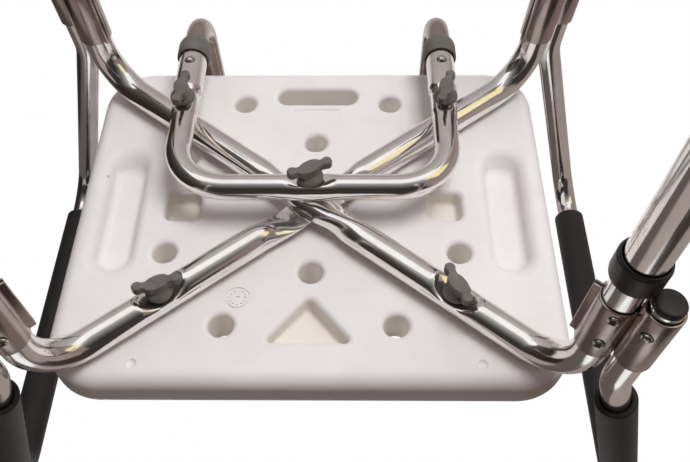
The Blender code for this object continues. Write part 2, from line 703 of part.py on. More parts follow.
def build_leg_trim(place, slider):
    """Ferrule at the top of a sliding leg and rubber foot at its end."""
    top, low = -FERRULE_TOP, -FERRULE_TOP - FERRULE_LENGTH
    lip = FRAME_RADIUS + 0.0005
    step_down = -OUTER_LEG_TOP + GAP
    bore = OUTER_LEG_RADIUS + 2 * GAP
    ferrule = turned("leg_ferrule_" + place, [
        (lip, top), (FERRULE_RADIUS - 0.002, top), (FERRULE_RADIUS, top - 0.003),
        (FERRULE_RADIUS, low + 0.001), (FERRULE_RADIUS - 0.001, low), (bore, low),
        (bore, step_down), (lip, step_down)], closed=True)
    add_part("leg_ferrule_" + place, ferrule, BLACK, slider)
    top = -FOOT_TOP
    inside = -OUTER_LEG_END - GAP
    sole = -(UNDERSIDE - FRAME_DROP) - 0.006
    foot = turned("rubber_foot_" + place, [
        (0.0, top), (FOOT_RADIUS - 0.004, top), (FOOT_RADIUS - 0.003, top - 0.002),
        (FOOT_RADIUS - 0.003, top - 0.014), (FOOT_RADIUS, top - 0.024), (FOOT_RADIUS, sole), (0.0, sole)])
    foot = add_part("rubber_foot_" + place, foot, RUBBER, slider)
    bore_run = [(Vector((0, 0, top + 0.005)), Vector((0, 0, inside)), bore)]
    join_solid(foot, rods("foot_bore_" + place, bore_run, slider))
    join_solid(foot, FLOOR)


def build_rivets(place, mirror, fixed):
    """Two blind rivets that hold the connector to the frame tube."""
    head = FRAME_RADIUS + GAP + CONNECTOR_WALL + GAP
    for name, along in zip(("upper", "lower"), RIVETS):
        rivet = turned("rivet", [
            (0.0, head + 0.0016), (RIVET_HEAD * 0.6, head + 0.0014), (RIVET_HEAD, head),
            (RIVET_RADIUS, head), (RIVET_RADIUS, FRAME_RADIUS - 0.003),
            (0.0, FRAME_RADIUS - 0.003)], 8)
        turn = Matrix.Rotation(RIVET_TURN * mirror, 4, 'Z')
        turn = turn @ Matrix.Rotation(math.radians(-90 * mirror), 4, 'X')
        rivet.transform(Matrix.Translation((0, 0, -along)) @ turn)
        add_part("rivet_" + name + "_" + place, rivet, STEEL, fixed)


def build_arm(side_name):
    """Arm tube with its foam grip and end plugs, and the snap clip in its front end."""
    side = SIDES[side_name]
    line = {}
    for end in (-1, 1):
        socket = diagonal_way(side * end) * SOCKET_OFFSET
        line[end] = [leg_point(side, end, along, socket.x, socket.y) for along in (ARM_INSERT, KNEE_ALONG)]
    top_front = plan(side * ARM_X, ARM_FRONT_Y, -ARM_RISE)
    top_rear = plan(side * ARM_X, ARM_REAR_Y, -ARM_RISE)
    corners = line[-1] + [top_front, top_rear] + line[1][::-1]
    path = rounded_path(corners, [KNEE_BEND, ARM_BEND, ARM_BEND, KNEE_BEND])
    origin = line[-1][1]
    mesh = tube_skin("arm_tube", path, ARM_RADIUS)
    tube = add_part("arm_tube_" + side_name, mesh, POLISHED, origin=origin)
    add_wall(tube, WALL)
    socket = diagonal_way(-side) * SOCKET_OFFSET
    frame = leg_matrix(side, -1) @ Matrix.Translation((socket.x, socket.y, -ARM_BUTTON_ALONG))
    outward = frame.to_3x3() @ inward_face(-side, ARM_BUTTON_TURN)
    centre = frame.translation
    join_solid(tube, rods("arm_hole_" + side_name, [(centre, centre + outward * 0.02, BUTTON_HOLE)]))
    turn = Matrix.Rotation(-side * (ARM_BUTTON_TURN + math.radians(90)), 4, 'Z')
    flip = Matrix.Rotation(math.pi, 4, 'X')
    reach = ARM_RADIUS + 0.0007 + CONNECTOR_WALL + BUTTON_PROUD
    build_clip("arm_clip_" + side_name, frame @ turn @ flip, reach)
    for end_name, end in ENDS.items():
        flange = -ARM_INSERT - GAP
        spigot, spigot_top = PLUG_SPIGOT[0], flange + PLUG_SPIGOT[1]
        plug = turned("arm_plug", [
            (0.0, spigot_top), (spigot, spigot_top), (spigot, flange), (ARM_RADIUS - GAP, flange),
            (ARM_RADIUS - GAP, flange - PLUG_FLANGE + 0.0015),
            (ARM_RADIUS - 0.002, flange - PLUG_FLANGE), (0.0, flange - PLUG_FLANGE)], 12)
        socket = diagonal_way(side * end) * SOCKET_OFFSET
        plug.transform(leg_matrix(side, end) @ Matrix.Translation(socket))
        add_part("arm_plug_" + end_name + "_" + side_name, plug, BLACK, origin=origin)

    rise = (ARM_RISE - GRIP_END_RISE) / (ARM_RISE + UNDERSIDE - line[-1][1].z)
    grip_end = top_front + (line[-1][1] - top_front) * rise
    grip_start = plan(side * ARM_X, GRIP_REAR_Y, -ARM_RISE)
    grip_path = rounded_path([grip_start, top_front, grip_end], [ARM_BEND])
    skin = tube_skin("arm_grip", grip_path, GRIP_RADIUS)
    grip = add_part("arm_grip_" + side_name, skin, FOAM, origin=origin)
    add_wall(grip, GRIP_RADIUS - ARM_RADIUS - 0.0009)


def build_back():
    """Backrest tube, its collars and clips, and the bowed back panel with its screws."""
    root = plan(0.0, BACK_POST_Y, BRACKET_DROP)
    lean = Vector((0.0, math.sin(BACK_LEAN), math.cos(BACK_LEAN)))
    halves = {}
    for side in (1, -1):
        out = Vector((side * BOLT_X, 0, 0))
        insert = plan(side * BOLT_X, BACK_INSERT_Y, BRACKET_DROP)
        halves[side] = [insert, root + out, root + lean * BACK_LENGTH + out]
    corners = halves[1] + halves[-1][::-1]
    path = rounded_path(corners, [BACK_BEND, BACK_TOP_BEND, BACK_TOP_BEND, BACK_BEND])
    mesh = tube_skin("backrest_tube", path, BACK_RADIUS)
    tube = add_part("backrest_tube", mesh, SATIN, origin=plan(0.0, MOUTH_END, BRACKET_DROP))
    add_wall(tube, WALL)
    leaning = Matrix.Translation(root) @ Matrix.Rotation(-BACK_LEAN, 4, 'X')
    carrier = new_empty("back_panel_line", leaning)
    holes = []
    for side in SIDES.values():
        screw_line = [leaning @ Vector((side * BOLT_X, y, PANEL_MIDDLE)) for y in (-0.03, 0.03)]
        holes.append((*screw_line, SCREW_HOLE))
        centre = plan(side * BOLT_X, BACK_BUTTON_Y, BRACKET_DROP)
        holes.append((centre, centre - Vector((0, 0, 0.020)), BUTTON_HOLE))
    join_solid(tube, rods("backrest_holes", holes))

    for side_name, side in SIDES.items():
        collar = turned("back_collar", [
            (BACK_RADIUS + 0.0005, COLLAR_LENGTH), (COLLAR_RADIUS - 0.003, COLLAR_LENGTH),
            (COLLAR_RADIUS, COLLAR_LENGTH - 0.005), (COLLAR_RADIUS, 0.0), (MOUTH_RADIUS + 0.0004, 0.0),
            (MOUTH_RADIUS + 0.0004, 0.010), (BACK_RADIUS + 0.0005, 0.010)], closed=True)
        collar.transform(Matrix.Rotation(math.radians(-90), 4, 'X'))
        start = plan(side * BOLT_X, MOUTH_END - 0.010 + GAP, BRACKET_DROP)
        collar.transform(Matrix.Translation(start))
        add_part("back_collar_" + side_name, collar, GREY)
        button = plan(side * BOLT_X, BACK_BUTTON_Y, BRACKET_DROP)
        axes = Matrix(((0, 0, -1), (1, 0, 0), (0, -1, 0))).transposed().to_4x4()
        build_clip("back_clip_" + side_name, Matrix.Translation(button) @ axes, MOUTH_RADIUS + BUTTON_PROUD)
    build_back_panel(carrier)


def bow(bm):
    """Bow a panel so that its ends come forward."""
    reach = PANEL_WIDTH / 2
    for step in range(-3, 4):
        geometry = bm.verts[:] + bm.edges[:] + bm.faces[:]
        bmesh.ops.bisect_plane(bm, geom=geometry, plane_co=(reach * step / 4, 0, 0), plane_no=(1, 0, 0))
    for vertex in bm.verts:
        vertex.co.y -= PANEL_BOW * vertex.co.x ** 2


def panel_slab(trim, steps):
    """Upright bowed slab in the back's leaning frame, drawn in by a trim on every side."""
    bm = rounded_slab(PANEL_WIDTH - 2 * trim, PANEL_HEIGHT - 2 * trim, PANEL_THICK - 2 * trim,
                      PANEL_CORNER - trim, PANEL_EDGE - trim, steps, 1 if trim else 2)
    bmesh.ops.rotate(bm, verts=bm.verts, matrix=Matrix.Rotation(math.radians(90), 3, 'X'))
    bow(bm)
    middle = -BACK_RADIUS - GAP - PANEL_THICK / 2 + PANEL_BOW * BOLT_X ** 2
    bmesh.ops.translate(bm, verts=bm.verts, vec=(0, middle, PANEL_MIDDLE))
    return bm


def panel_slot(name, grow, carrier):
    """Cutter for the hand slot through the panel, grown by a wall for the hollow."""
    bm = bmesh.new()
    outline = box_corners(PANEL_SLOT[0] + 2 * grow, PANEL_SLOT[1] + 2 * grow)
    add_pocket(bm, rounded_outline(outline, PANEL_SLOT[1] * 0.48 + grow, 2), (0, 0), -0.05, 0.05)
    bmesh.ops.rotate(bm, verts=bm.verts, matrix=Matrix.Rotation(math.radians(90), 3, 'X'))
    bmesh.ops.translate(bm, verts=bm.verts, vec=(0, 0, PANEL_MIDDLE + PANEL_SLOT_RISE))
    return add_cutter(name, mesh_from(bm, name), carrier)


def build_back_panel(carrier):
    """Hollow back panel in front of the posts, and the two screws that hold it."""
    panel = add_part("back_panel", mesh_from(panel_slab(0.0, 4), "back_panel"), WHITE, carrier)
    join_solid(panel, panel_slot("panel_slot", 0.0, carrier))
    hollow = add_cutter("panel_hollow", mesh_from(panel_slab(SHELL_WALL, 2), "panel_hollow"), carrier)
    join_solid(hollow, panel_slot("panel_slot_wall", SHELL_WALL, carrier))
    face = -BACK_RADIUS - GAP
    bosses, holes = [], []
    for side_name, side in SIDES.items():
        near = Vector((side * BOLT_X, 0.002, PANEL_MIDDLE))
        bosses.append((near, near - Vector((0, 0.06, 0)), SCREW_HOLE + SHELL_WALL))
        holes.append((near, near + Vector((0, face - 0.013, 0)), SCREW_HOLE))
        seat = BACK_RADIUS + GAP
        screw = turned("panel_screw", [
            (0.0, seat + 0.0028), (SCREW_HEAD * 0.6, seat + 0.0025), (SCREW_HEAD, seat),
            (SCREW_RADIUS, seat), (SCREW_RADIUS, face - 0.011), (0.0, face - 0.011)], 10)
        screw.transform(Matrix.Translation((side * BOLT_X, 0, PANEL_MIDDLE))
                        @ Matrix.Rotation(math.radians(-90), 4, 'X'))
        add_part("panel_screw_" + side_name, screw, STEEL, carrier)
    join_solid(hollow, rods("panel_bosses", bosses, carrier))
    join_solid(panel, hollow)
    vent = Vector((PANEL_VENT[0], 0.01, PANEL_MIDDLE + PANEL_VENT[1]))
    holes.append((vent, vent - Vector((0, 0.020, 0)), 0.0025))
    join_solid(panel, rods("panel_holes", holes, carrier))


def build_floor():
    """Block under the floor that cuts the soles of the feet level."""
    bm = bmesh.new()
    bmesh.ops.create_cube(bm, size=1.0)
    bmesh.ops.translate(bm, verts=bm.verts, vec=(0, 0, -0.5))
    return add_cutter("floor_level", mesh_from(bm, "floor_level"))


FLOOR = build_floor()
build_seat()
build_cross_tube("cross_tube_front_left", 1, 0.0004, FRAME_RADIUS)
build_cross_tube("cross_tube_front_right", -1, -FRAME_RADIUS, -0.0004)
build_bracket()
build_knobs()
for leg_end in ENDS:
    for leg_side in SIDES:
        build_leg(leg_side, leg_end)
for arm_side in SIDES:
    build_arm(arm_side)
build_back()
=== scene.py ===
"""Looks of the shower chair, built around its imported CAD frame.

Metres, +Z up, the front of the chair towards -Y and the sitter's left towards +X.
Plan places are measured from the crossing of the two frame tubes, and a drop is measured
downwards from the seat's underside, as in the part's own source.
"""

import json
import logging
import math
from dataclasses import dataclass
from enum import Enum
from typing import Any, Callable, Optional, Sequence

import bmesh
import bpy
from bmesh.types import BMEdge, BMesh, BMVert
from bpy.types import Material, Mesh, Node, NodeSocket, NodeTree, Object
from mathutils import Matrix, Vector

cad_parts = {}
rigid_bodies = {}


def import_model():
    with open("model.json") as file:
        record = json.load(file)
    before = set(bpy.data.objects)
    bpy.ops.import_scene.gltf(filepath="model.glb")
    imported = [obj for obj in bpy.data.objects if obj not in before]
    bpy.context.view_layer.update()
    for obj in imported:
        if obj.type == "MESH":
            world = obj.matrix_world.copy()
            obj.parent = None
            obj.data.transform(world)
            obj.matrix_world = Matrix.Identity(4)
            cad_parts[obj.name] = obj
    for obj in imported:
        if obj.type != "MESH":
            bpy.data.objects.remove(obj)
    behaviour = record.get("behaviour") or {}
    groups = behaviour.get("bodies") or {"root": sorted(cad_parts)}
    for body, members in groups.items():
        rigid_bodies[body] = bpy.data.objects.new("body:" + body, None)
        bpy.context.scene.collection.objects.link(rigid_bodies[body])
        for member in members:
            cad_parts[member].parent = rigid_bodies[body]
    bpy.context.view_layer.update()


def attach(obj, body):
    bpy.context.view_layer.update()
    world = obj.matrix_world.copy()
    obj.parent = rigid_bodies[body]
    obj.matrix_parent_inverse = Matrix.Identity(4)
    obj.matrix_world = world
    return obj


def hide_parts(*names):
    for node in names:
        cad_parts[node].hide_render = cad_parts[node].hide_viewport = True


LOG = logging.getLogger("shower_chair")

# Places and sizes that several pieces share
UNDERSIDE = 0.342
DEPTH_SHIFT = -0.0478
GAP = 0.0003
TUBE_WALL = 0.0012
FRAME_RADIUS = 0.0127
FRAME_DROP = 0.013
CORNER_X = 0.199
CORNER_Y = 0.1594
BOLT_X = 0.117
BOLT_Y = BOLT_X * CORNER_Y / CORNER_X
STUD_HOLE = 0.0037
BUTTON_HOLE = 0.0047
DIAGONAL = math.atan2(CORNER_Y, CORNER_X)
RIVETS = (0.070, 0.0995)
RIVET_TURN = math.radians(20)
RIVET_HOLE = 0.0026
LEG_BUTTON_ALONG = 0.259
LEG_SPLAY = 0.085
ARM_RADIUS = 0.0111
SOCKET_OFFSET = 0.0262
ARM_BUTTON_ALONG = 0.103
ARM_BUTTON_TURN = math.radians(38)
BRACKET_DROP = 0.0371
MOUTH_RADIUS = 0.0131
MOUTH_END = 0.166
BACK_BUTTON_Y = 0.143
BUTTON_PROUD = 0.0028

# Reach of cutting tools: past a surface, out of a tube from its line, and to both sides of a tube
TOOL_PAST = 0.01
HOLE_REACH = 0.02
STUD_REACH = 0.03

# Fineness of the meshes
BEND_STEP = math.radians(5)
STUD_SIDES = 24
BUTTON_SIDES = 28
HEAD_STEPS = 28
TUBE_SIDES = 40
WIDE_SIDES = 48
SLEEVE_SIDES = 56
EDGE_SEGMENTS = 3
POCKET_SEGMENTS = 8

# Limits by which edges and points are told apart
SHARP_ANGLE = math.radians(40)
LEVEL = 1e-9
MERGE = 1e-6
SAME_LEVEL = 1e-5

QUARTER_TURN = math.radians(90)
MM_PER_METRE = 1000
WHITE = (1.0, 1.0, 1.0, 1.0)


class Side(Enum):
    """Sides of the chair, each with the sign of its X."""

    LEFT = 1
    RIGHT = -1


class End(Enum):
    """Ends of the chair, each with the sign of its Y."""

    FRONT = -1
    REAR = 1


def place_name(end: End, side: Side) -> str:
    """Name of one corner, as the CAD nodes have it."""
    return f"{end.name}_{side.name}".lower()


def plan(x: float, y: float, drop: float = 0.0) -> Vector:
    """Point at a plan place and a drop below the seat's underside."""
    return Vector((x, y + DEPTH_SHIFT, UNDERSIDE - drop))


def down(distance: float) -> Vector:
    """Vector straight down, in whichever frame it is used."""
    return Vector((0.0, 0.0, -distance))


def linear(hex_colour: str) -> tuple[float, float, float, float]:
    """Turn an sRGB hex colour to linear light.

    Args:
        hex_colour: Colour such as "#e9e4e1".

    Returns:
        Red, green and blue in linear light, and an alpha of 1.
    """
    values = []
    for start in (1, 3, 5):
        share = int(hex_colour[start:start + 2], 16) / 255
        values.append(share / 12.92 if share <= 0.04045 else ((share + 0.055) / 1.055) ** 2.4)
    return (*values, 1.0)


def add_node(tree: NodeTree, kind: str, inputs: Optional[dict[Any, Any]] = None, **settings: Any) -> Node:
    """Add a shader node with its settings and links.

    Args:
        tree: Node tree that takes the node.
        kind: Node's type name, after "ShaderNode".
        inputs: Input name or index to the socket linked to it, or to the value set on it.
        **settings: Attributes set on the node.

    Returns:
        The new node.
    """
    made = tree.nodes.new("ShaderNode" + kind)
    for key, value in settings.items():
        setattr(made, key, value)
    for key, value in (inputs or {}).items():
        if isinstance(value, NodeSocket):
            tree.links.new(value, made.inputs[key])
        else:
            made.inputs[key].default_value = value
    return made


def map_range(tree: NodeTree, value: NodeSocket, given: tuple[float, float] = (0.0, 1.0),
              wanted: tuple[float, float] = (0.0, 1.0), curve: str = 'LINEAR') -> NodeSocket:
    """Turn a value to another range.

    Args:
        tree: Node tree that takes the node.
        value: Socket of the value.
        given: Range of the value, outside of which it is held.
        wanted: Range of the result.
        curve: Way between the two ends, as the node names it.

    Returns:
        Socket of the result.
    """
    made = add_node(tree, "MapRange", {
        "Value": value, "From Min": given[0], "From Max": given[1], "To Min": wanted[0],
        "To Max": wanted[1]}, interpolation_type=curve)
    return made.outputs["Result"]


def reckon(tree: NodeTree, operation: str, first: Any, second: Any, **settings: Any) -> NodeSocket:
    """Result of a sum on two values, each a socket or a number."""
    made = add_node(tree, "Math", {0: first, 1: second}, operation=operation, **settings)
    return made.outputs["Value"]


def mix_colours(tree: NodeTree, share: NodeSocket, first: Any, second: Any) -> NodeSocket:
    """Colour between two colours, each a socket or a linear colour, at a share of the second."""
    mixed = add_node(tree, "Mix", {"Factor": share, "A": first, "B": second}, data_type='RGBA')
    return mixed.outputs["Result"]


def new_material(name: str) -> Material:
    """Material with an empty node tree."""
    made = bpy.data.materials.new(name)
    made.use_nodes = True
    made.node_tree.nodes.clear()
    return made


@dataclass(frozen=True)
class Finish:
    """Surface of one real material, with patches of wear and a fine grain."""

    name: str
    slot: str
    colour: str
    worn_colour: str
    roughness: tuple[float, float]
    patch_mm: float
    grain_mm: float
    grain_depth_mm: float
    metallic: float = 0.0
    specular: float = 0.5
    sheen: float = 0.0
    speck_mm: float = 0.0
    worn_range: tuple[float, float] = (0.35, 0.70)
    grain_range: tuple[float, float] = (0.25, 0.75)
    speck_spacing: float = 40.0
    speck_reach: tuple[float, float] = (0.012, 0.022)
    speck_strength: float = 0.55
    speck_colour: str = "#6b625c"
    # Colour painted into the seat's hollows as shade, through its "hollow" layer
    hollow_shade_colour: str = ""

    def material(self) -> Material:
        """Material of this finish, made once."""
        made = bpy.data.materials.get(self.name)
        if made is None:
            made = new_material(self.name)
            self.lay(made.node_tree)
        return made

    def lay(self, tree: NodeTree) -> None:
        """Lay the finish's nodes.

        Args:
            tree: Empty node tree of the material.
        """
        place = add_node(tree, "TexCoord").outputs["Object"]
        patches = add_node(tree, "TexNoise", {
            "Vector": place, "Scale": MM_PER_METRE / self.patch_mm, "Detail": 4.0, "Roughness": 0.6})
        worn = map_range(tree, patches.outputs["Fac"], self.worn_range)
        colour = mix_colours(tree, worn, linear(self.colour), linear(self.worn_colour))
        # Painted shade: the hollows are darkened towards the hollow colour by the "hollow" layer
        if self.hollow_shade_colour:
            hollow = add_node(tree, "Attribute", attribute_name="hollow").outputs["Fac"]
            colour = mix_colours(tree, hollow, colour, linear(self.hollow_shade_colour))
        if self.speck_mm:
            colour = self.add_specks(tree, place, colour)
        grain = self.grain(tree, place)
        rough = map_range(tree, grain, self.grain_range, self.roughness)
        bump = add_node(tree, "Bump", {
            "Height": grain, "Strength": 1.0, "Distance": self.grain_depth_mm / MM_PER_METRE})
        shader = add_node(tree, "BsdfPrincipled", {
            "Base Color": colour, "Roughness": rough, "Normal": bump.outputs["Normal"],
            "Metallic": self.metallic, "Specular IOR Level": self.specular, "Sheen Weight": self.sheen})
        add_node(tree, "OutputMaterial", {"Surface": shader.outputs["BSDF"]})

    def grain(self, tree: NodeTree, place: NodeSocket) -> NodeSocket:
        """Height of the fine grain, from 0 to 1."""
        return add_node(tree, "TexNoise", {
            "Vector": place, "Scale": MM_PER_METRE / self.grain_mm, "Detail": 2.0}).outputs["Fac"]

    def add_specks(self, tree: NodeTree, place: NodeSocket, colour: NodeSocket) -> NodeSocket:
        """Scatter a few small specks of dirt over a colour.

        Args:
            tree: Node tree of the material.
            place: Coordinates of the surface.
            colour: Colour under the specks.

        Returns:
            Colour with the specks on it.
        """
        cells = add_node(tree, "TexVoronoi", {
            "Vector": place, "Scale": MM_PER_METRE / (self.speck_mm * self.speck_spacing)})
        speck = map_range(tree, cells.outputs["Distance"], self.speck_reach, (self.speck_strength, 0.0))
        return mix_colours(tree, speck, colour, linear(self.speck_colour))


@dataclass(frozen=True)
class DrawnMetal(Finish):
    """Drawn tube, whose fine lines run along it."""

    line_length_mm: float = 18.0

    def grain(self, tree: NodeTree, place: NodeSocket) -> NodeSocket:
        """Height of the drawing lines, from 0 to 1."""
        along = add_node(tree, "Attribute", attribute_name="drawn").outputs["Vector"]
        stretch = self.grain_mm / self.line_length_mm
        lines = add_node(tree, "Mapping", {"Vector": along, "Scale": (1.0, 1.0, stretch)})
        return add_node(tree, "TexNoise", {
            "Vector": lines.outputs["Vector"], "Scale": MM_PER_METRE / self.grain_mm,
            "Detail": 3.0}).outputs["Fac"]


# Blow-moulded polyethylene: a soft waxy white, faintly warm, with a fine orange peel and stray dirt;
# in the hollows a duller cream is painted in as shade
WHITE_POLYETHYLENE = Finish("white_blow_moulded_polyethylene", "white_moulded_plastic",
                            "#ebe8e7", "#e4e0df", (0.42, 0.55), 60.0, 1.4, 0.05, specular=0.35,
                            speck_mm=2.2, hollow_shade_colour="#e6e1d8")
# Drawn and polished aluminium: a near mirror, with faint lines along the tube
POLISHED_ALUMINIUM = DrawnMetal("polished_drawn_aluminium", "polished_aluminium", "#f8f6f5", "#ece9e7",
                                (0.07, 0.18), 35.0, 0.9, 0.006, metallic=1.0)
# Anodised aluminium with a satin face: a mauve grey that smears what it reflects
SATIN_ALUMINIUM = DrawnMetal("satin_anodised_aluminium", "satin_aluminium", "#bfb4b0", "#aea29e",
                             (0.18, 0.30), 30.0, 0.9, 0.008, metallic=1.0)
# Plated spring steel: bright and hard, with faint pits
BRIGHT_STEEL = Finish("bright_plated_steel", "bright_steel", "#d6d4d1", "#bdb8b3",
                      (0.10, 0.24), 8.0, 0.8, 0.005, metallic=1.0)
# Moulded nylon: a dull dark grey with a spark-eroded grain
GREY_NYLON = Finish("grey_moulded_nylon", "grey_plastic", "#6c6865", "#5f5a57",
                    (0.38, 0.55), 12.0, 0.7, 0.03)
# Moulded polypropylene in black: smooth with a soft shine
BLACK_POLYPROPYLENE = Finish("black_moulded_polypropylene", "black_plastic", "#1d1b1b", "#262322",
                             (0.30, 0.45), 15.0, 0.8, 0.02)
# Closed-cell nitrile foam: near black, dull, with a skin of fine cells drawn coarse enough to show
BLACK_FOAM = Finish("black_closed_cell_foam", "black_foam", "#1b1918", "#242120",
                    (0.50, 0.68), 25.0, 0.9, 0.07, specular=0.40, sheen=0.05)
# Moulded rubber: dull grey with dust in its pores
GREY_RUBBER = Finish("grey_moulded_rubber", "grey_rubber", "#45423f", "#55514d",
                     (0.62, 0.82), 10.0, 0.6, 0.04)


def smooth_share(share: float) -> float:
    """Ease a share from 0 to 1 at both its ends."""
    return share * share * (3 - 2 * share)


def verts_of(items: Sequence[Any]) -> list[BMVert]:
    """Vertices among the items of a bmesh operator's result."""
    return [item for item in items if isinstance(item, BMVert)]


def edges_within(verts: Sequence[BMVert]) -> list[BMEdge]:
    """Edges with both ends among the vertices."""
    chosen = set(verts)
    found = dict.fromkeys(edge for vertex in verts for edge in vertex.link_edges)
    return [edge for edge in found if edge.verts[0] in chosen and edge.verts[1] in chosen]


def round_edges(bm: BMesh, edges: Sequence[BMEdge], width: float, segments: int) -> None:
    """Round edges off to a width, in a number of segments."""
    bmesh.ops.bevel(bm, geom=edges, offset=width, segments=segments, profile=0.5, affect='EDGES',
                    material=-1)


def rods(runs: Sequence[tuple[Vector, Vector, float]], sides: int = 32, edge: float = 0.0) -> BMesh:
    """Round rods that stand clear of each other.

    Args:
        runs: Start, end and radius of each rod.
        sides: Sides of each rod.
        edge: Radius of the rounding of the ends.

    Returns:
        Bmesh of the rods.
    """
    bm = bmesh.new()
    for start, stop, radius in runs:
        way = stop - start
        turn = way.to_track_quat('Z', 'Y').to_matrix().to_4x4()
        made = bmesh.ops.create_cone(bm, cap_ends=True, segments=sides, radius1=radius, radius2=radius,
                                     depth=way.length, matrix=Matrix.Translation((start + stop) / 2) @ turn)
        if edge:
            rims = [e for e in edges_within(made["verts"])
                    if abs((e.verts[0].co - e.verts[1].co).dot(way)) < LEVEL]
            round_edges(bm, rims, edge, EDGE_SEGMENTS)
    return bm


def stud_holes(spots: Sequence[Vector]) -> BMesh:
    """Tool that drills upright stud holes right through a tube."""
    reach = Vector((0.0, 0.0, STUD_REACH))
    return rods([(spot - reach, spot + reach, STUD_HOLE) for spot in spots], STUD_SIDES)


def block(size: Vector, place: Matrix, edge: float = 0.0) -> BMesh:
    """Block with rounded edges, at a place."""
    bm = bmesh.new()
    bmesh.ops.create_cube(bm, size=1.0)
    bmesh.ops.scale(bm, verts=bm.verts, vec=size)
    if edge:
        round_edges(bm, bm.edges[:], edge, EDGE_SEGMENTS)
    bmesh.ops.transform(bm, matrix=place, verts=bm.verts)
    return bm


def slab(size: Vector, corner: float, edge: float, steps: int = 12) -> BMesh:
    """Slab about the origin, round at its upright corners and along its rims.

    Args:
        size: Width, depth and thickness.
        corner: Radius of the corners in plan.
        edge: Radius of the rims.
        steps: Segments of a corner; a rim has half as many.

    Returns:
        Bmesh of the slab.
    """
    bm = bmesh.new()
    bmesh.ops.create_cube(bm, size=1.0)
    bmesh.ops.scale(bm, verts=bm.verts, vec=size)
    for upright, width, count in ((True, corner, steps), (False, edge, steps // 2)):
        chosen = [e for e in bm.edges if (abs(e.verts[0].co.z - e.verts[1].co.z) > size.z / 2) == upright]
        if width:
            round_edges(bm, chosen, width, count)
    return bm


def pocket(corners: Sequence[tuple[float, float]], place: Vector, depth: float, radius: float,
           taper: float = 0.85) -> BMesh:
    """Tool that cuts a drafted pocket upwards into the seat.

    Args:
        corners: Outline about the pocket's middle.
        place: Middle of the pocket on the seat's underside.
        depth: Depth of the pocket.
        radius: Rounding of the outline's corners.
        taper: Size of the pocket's floor as a share of its mouth.

    Returns:
        Bmesh of the tool.
    """
    bm = bmesh.new()
    foot = bm.faces.new([bm.verts.new((x, y, 0.0)) for x, y in corners])
    top = verts_of(bmesh.ops.extrude_face_region(bm, geom=[foot])["geom"])
    bmesh.ops.translate(bm, verts=top, vec=(0.0, 0.0, depth))
    uprights = [e for e in bm.edges if abs(e.verts[0].co.z - e.verts[1].co.z) > depth / 2]
    round_edges(bm, uprights, radius, POCKET_SEGMENTS)
    bmesh.ops.remove_doubles(bm, verts=bm.verts, dist=SAME_LEVEL)
    high = [v for v in bm.verts if v.co.z > depth / 2]
    low = [v for v in bm.verts if v.co.z <= depth / 2]
    bmesh.ops.scale(bm, verts=high, vec=(taper, taper, 1.0))
    grow = 1.0 + (1.0 - taper) * TOOL_PAST / depth
    bmesh.ops.scale(bm, verts=low, vec=(grow, grow, 1.0))
    bmesh.ops.translate(bm, verts=low, vec=(0.0, 0.0, -TOOL_PAST))
    bmesh.ops.recalc_face_normals(bm, faces=bm.faces)
    bmesh.ops.translate(bm, verts=bm.verts, vec=place)
    return bm


def box_corners(width: float, depth: float) -> list[tuple[float, float]]:
    """Corners of a rectangle about the origin."""
    x, y = width / 2, depth / 2
    return [(-x, -y), (x, -y), (x, y), (-x, y)]


def lathe(profile: Sequence[tuple[float, float]], closed: bool = False, steps: int = 40) -> BMesh:
    """Turn a profile about Z.

    Args:
        profile: Radius and height of each point.
        closed: Whether the last point joins the first, as in a ring.
        steps: Segments of the turn.

    Returns:
        Bmesh of the turned solid.
    """
    bm = bmesh.new()
    points = [bm.verts.new((radius, 0.0, height)) for radius, height in profile]
    pairs = list(zip(points, points[1:]))
    if closed:
        pairs.append((points[-1], points[0]))
    edges = [bm.edges.new(pair) for pair in pairs]
    bmesh.ops.spin(bm, geom=points + edges, cent=(0, 0, 0), axis=(0, 0, 1), angle=math.tau,
                   steps=steps, use_merge=True)
    bmesh.ops.remove_doubles(bm, verts=bm.verts, dist=MERGE)
    bmesh.ops.recalc_face_normals(bm, faces=bm.faces)
    return bm


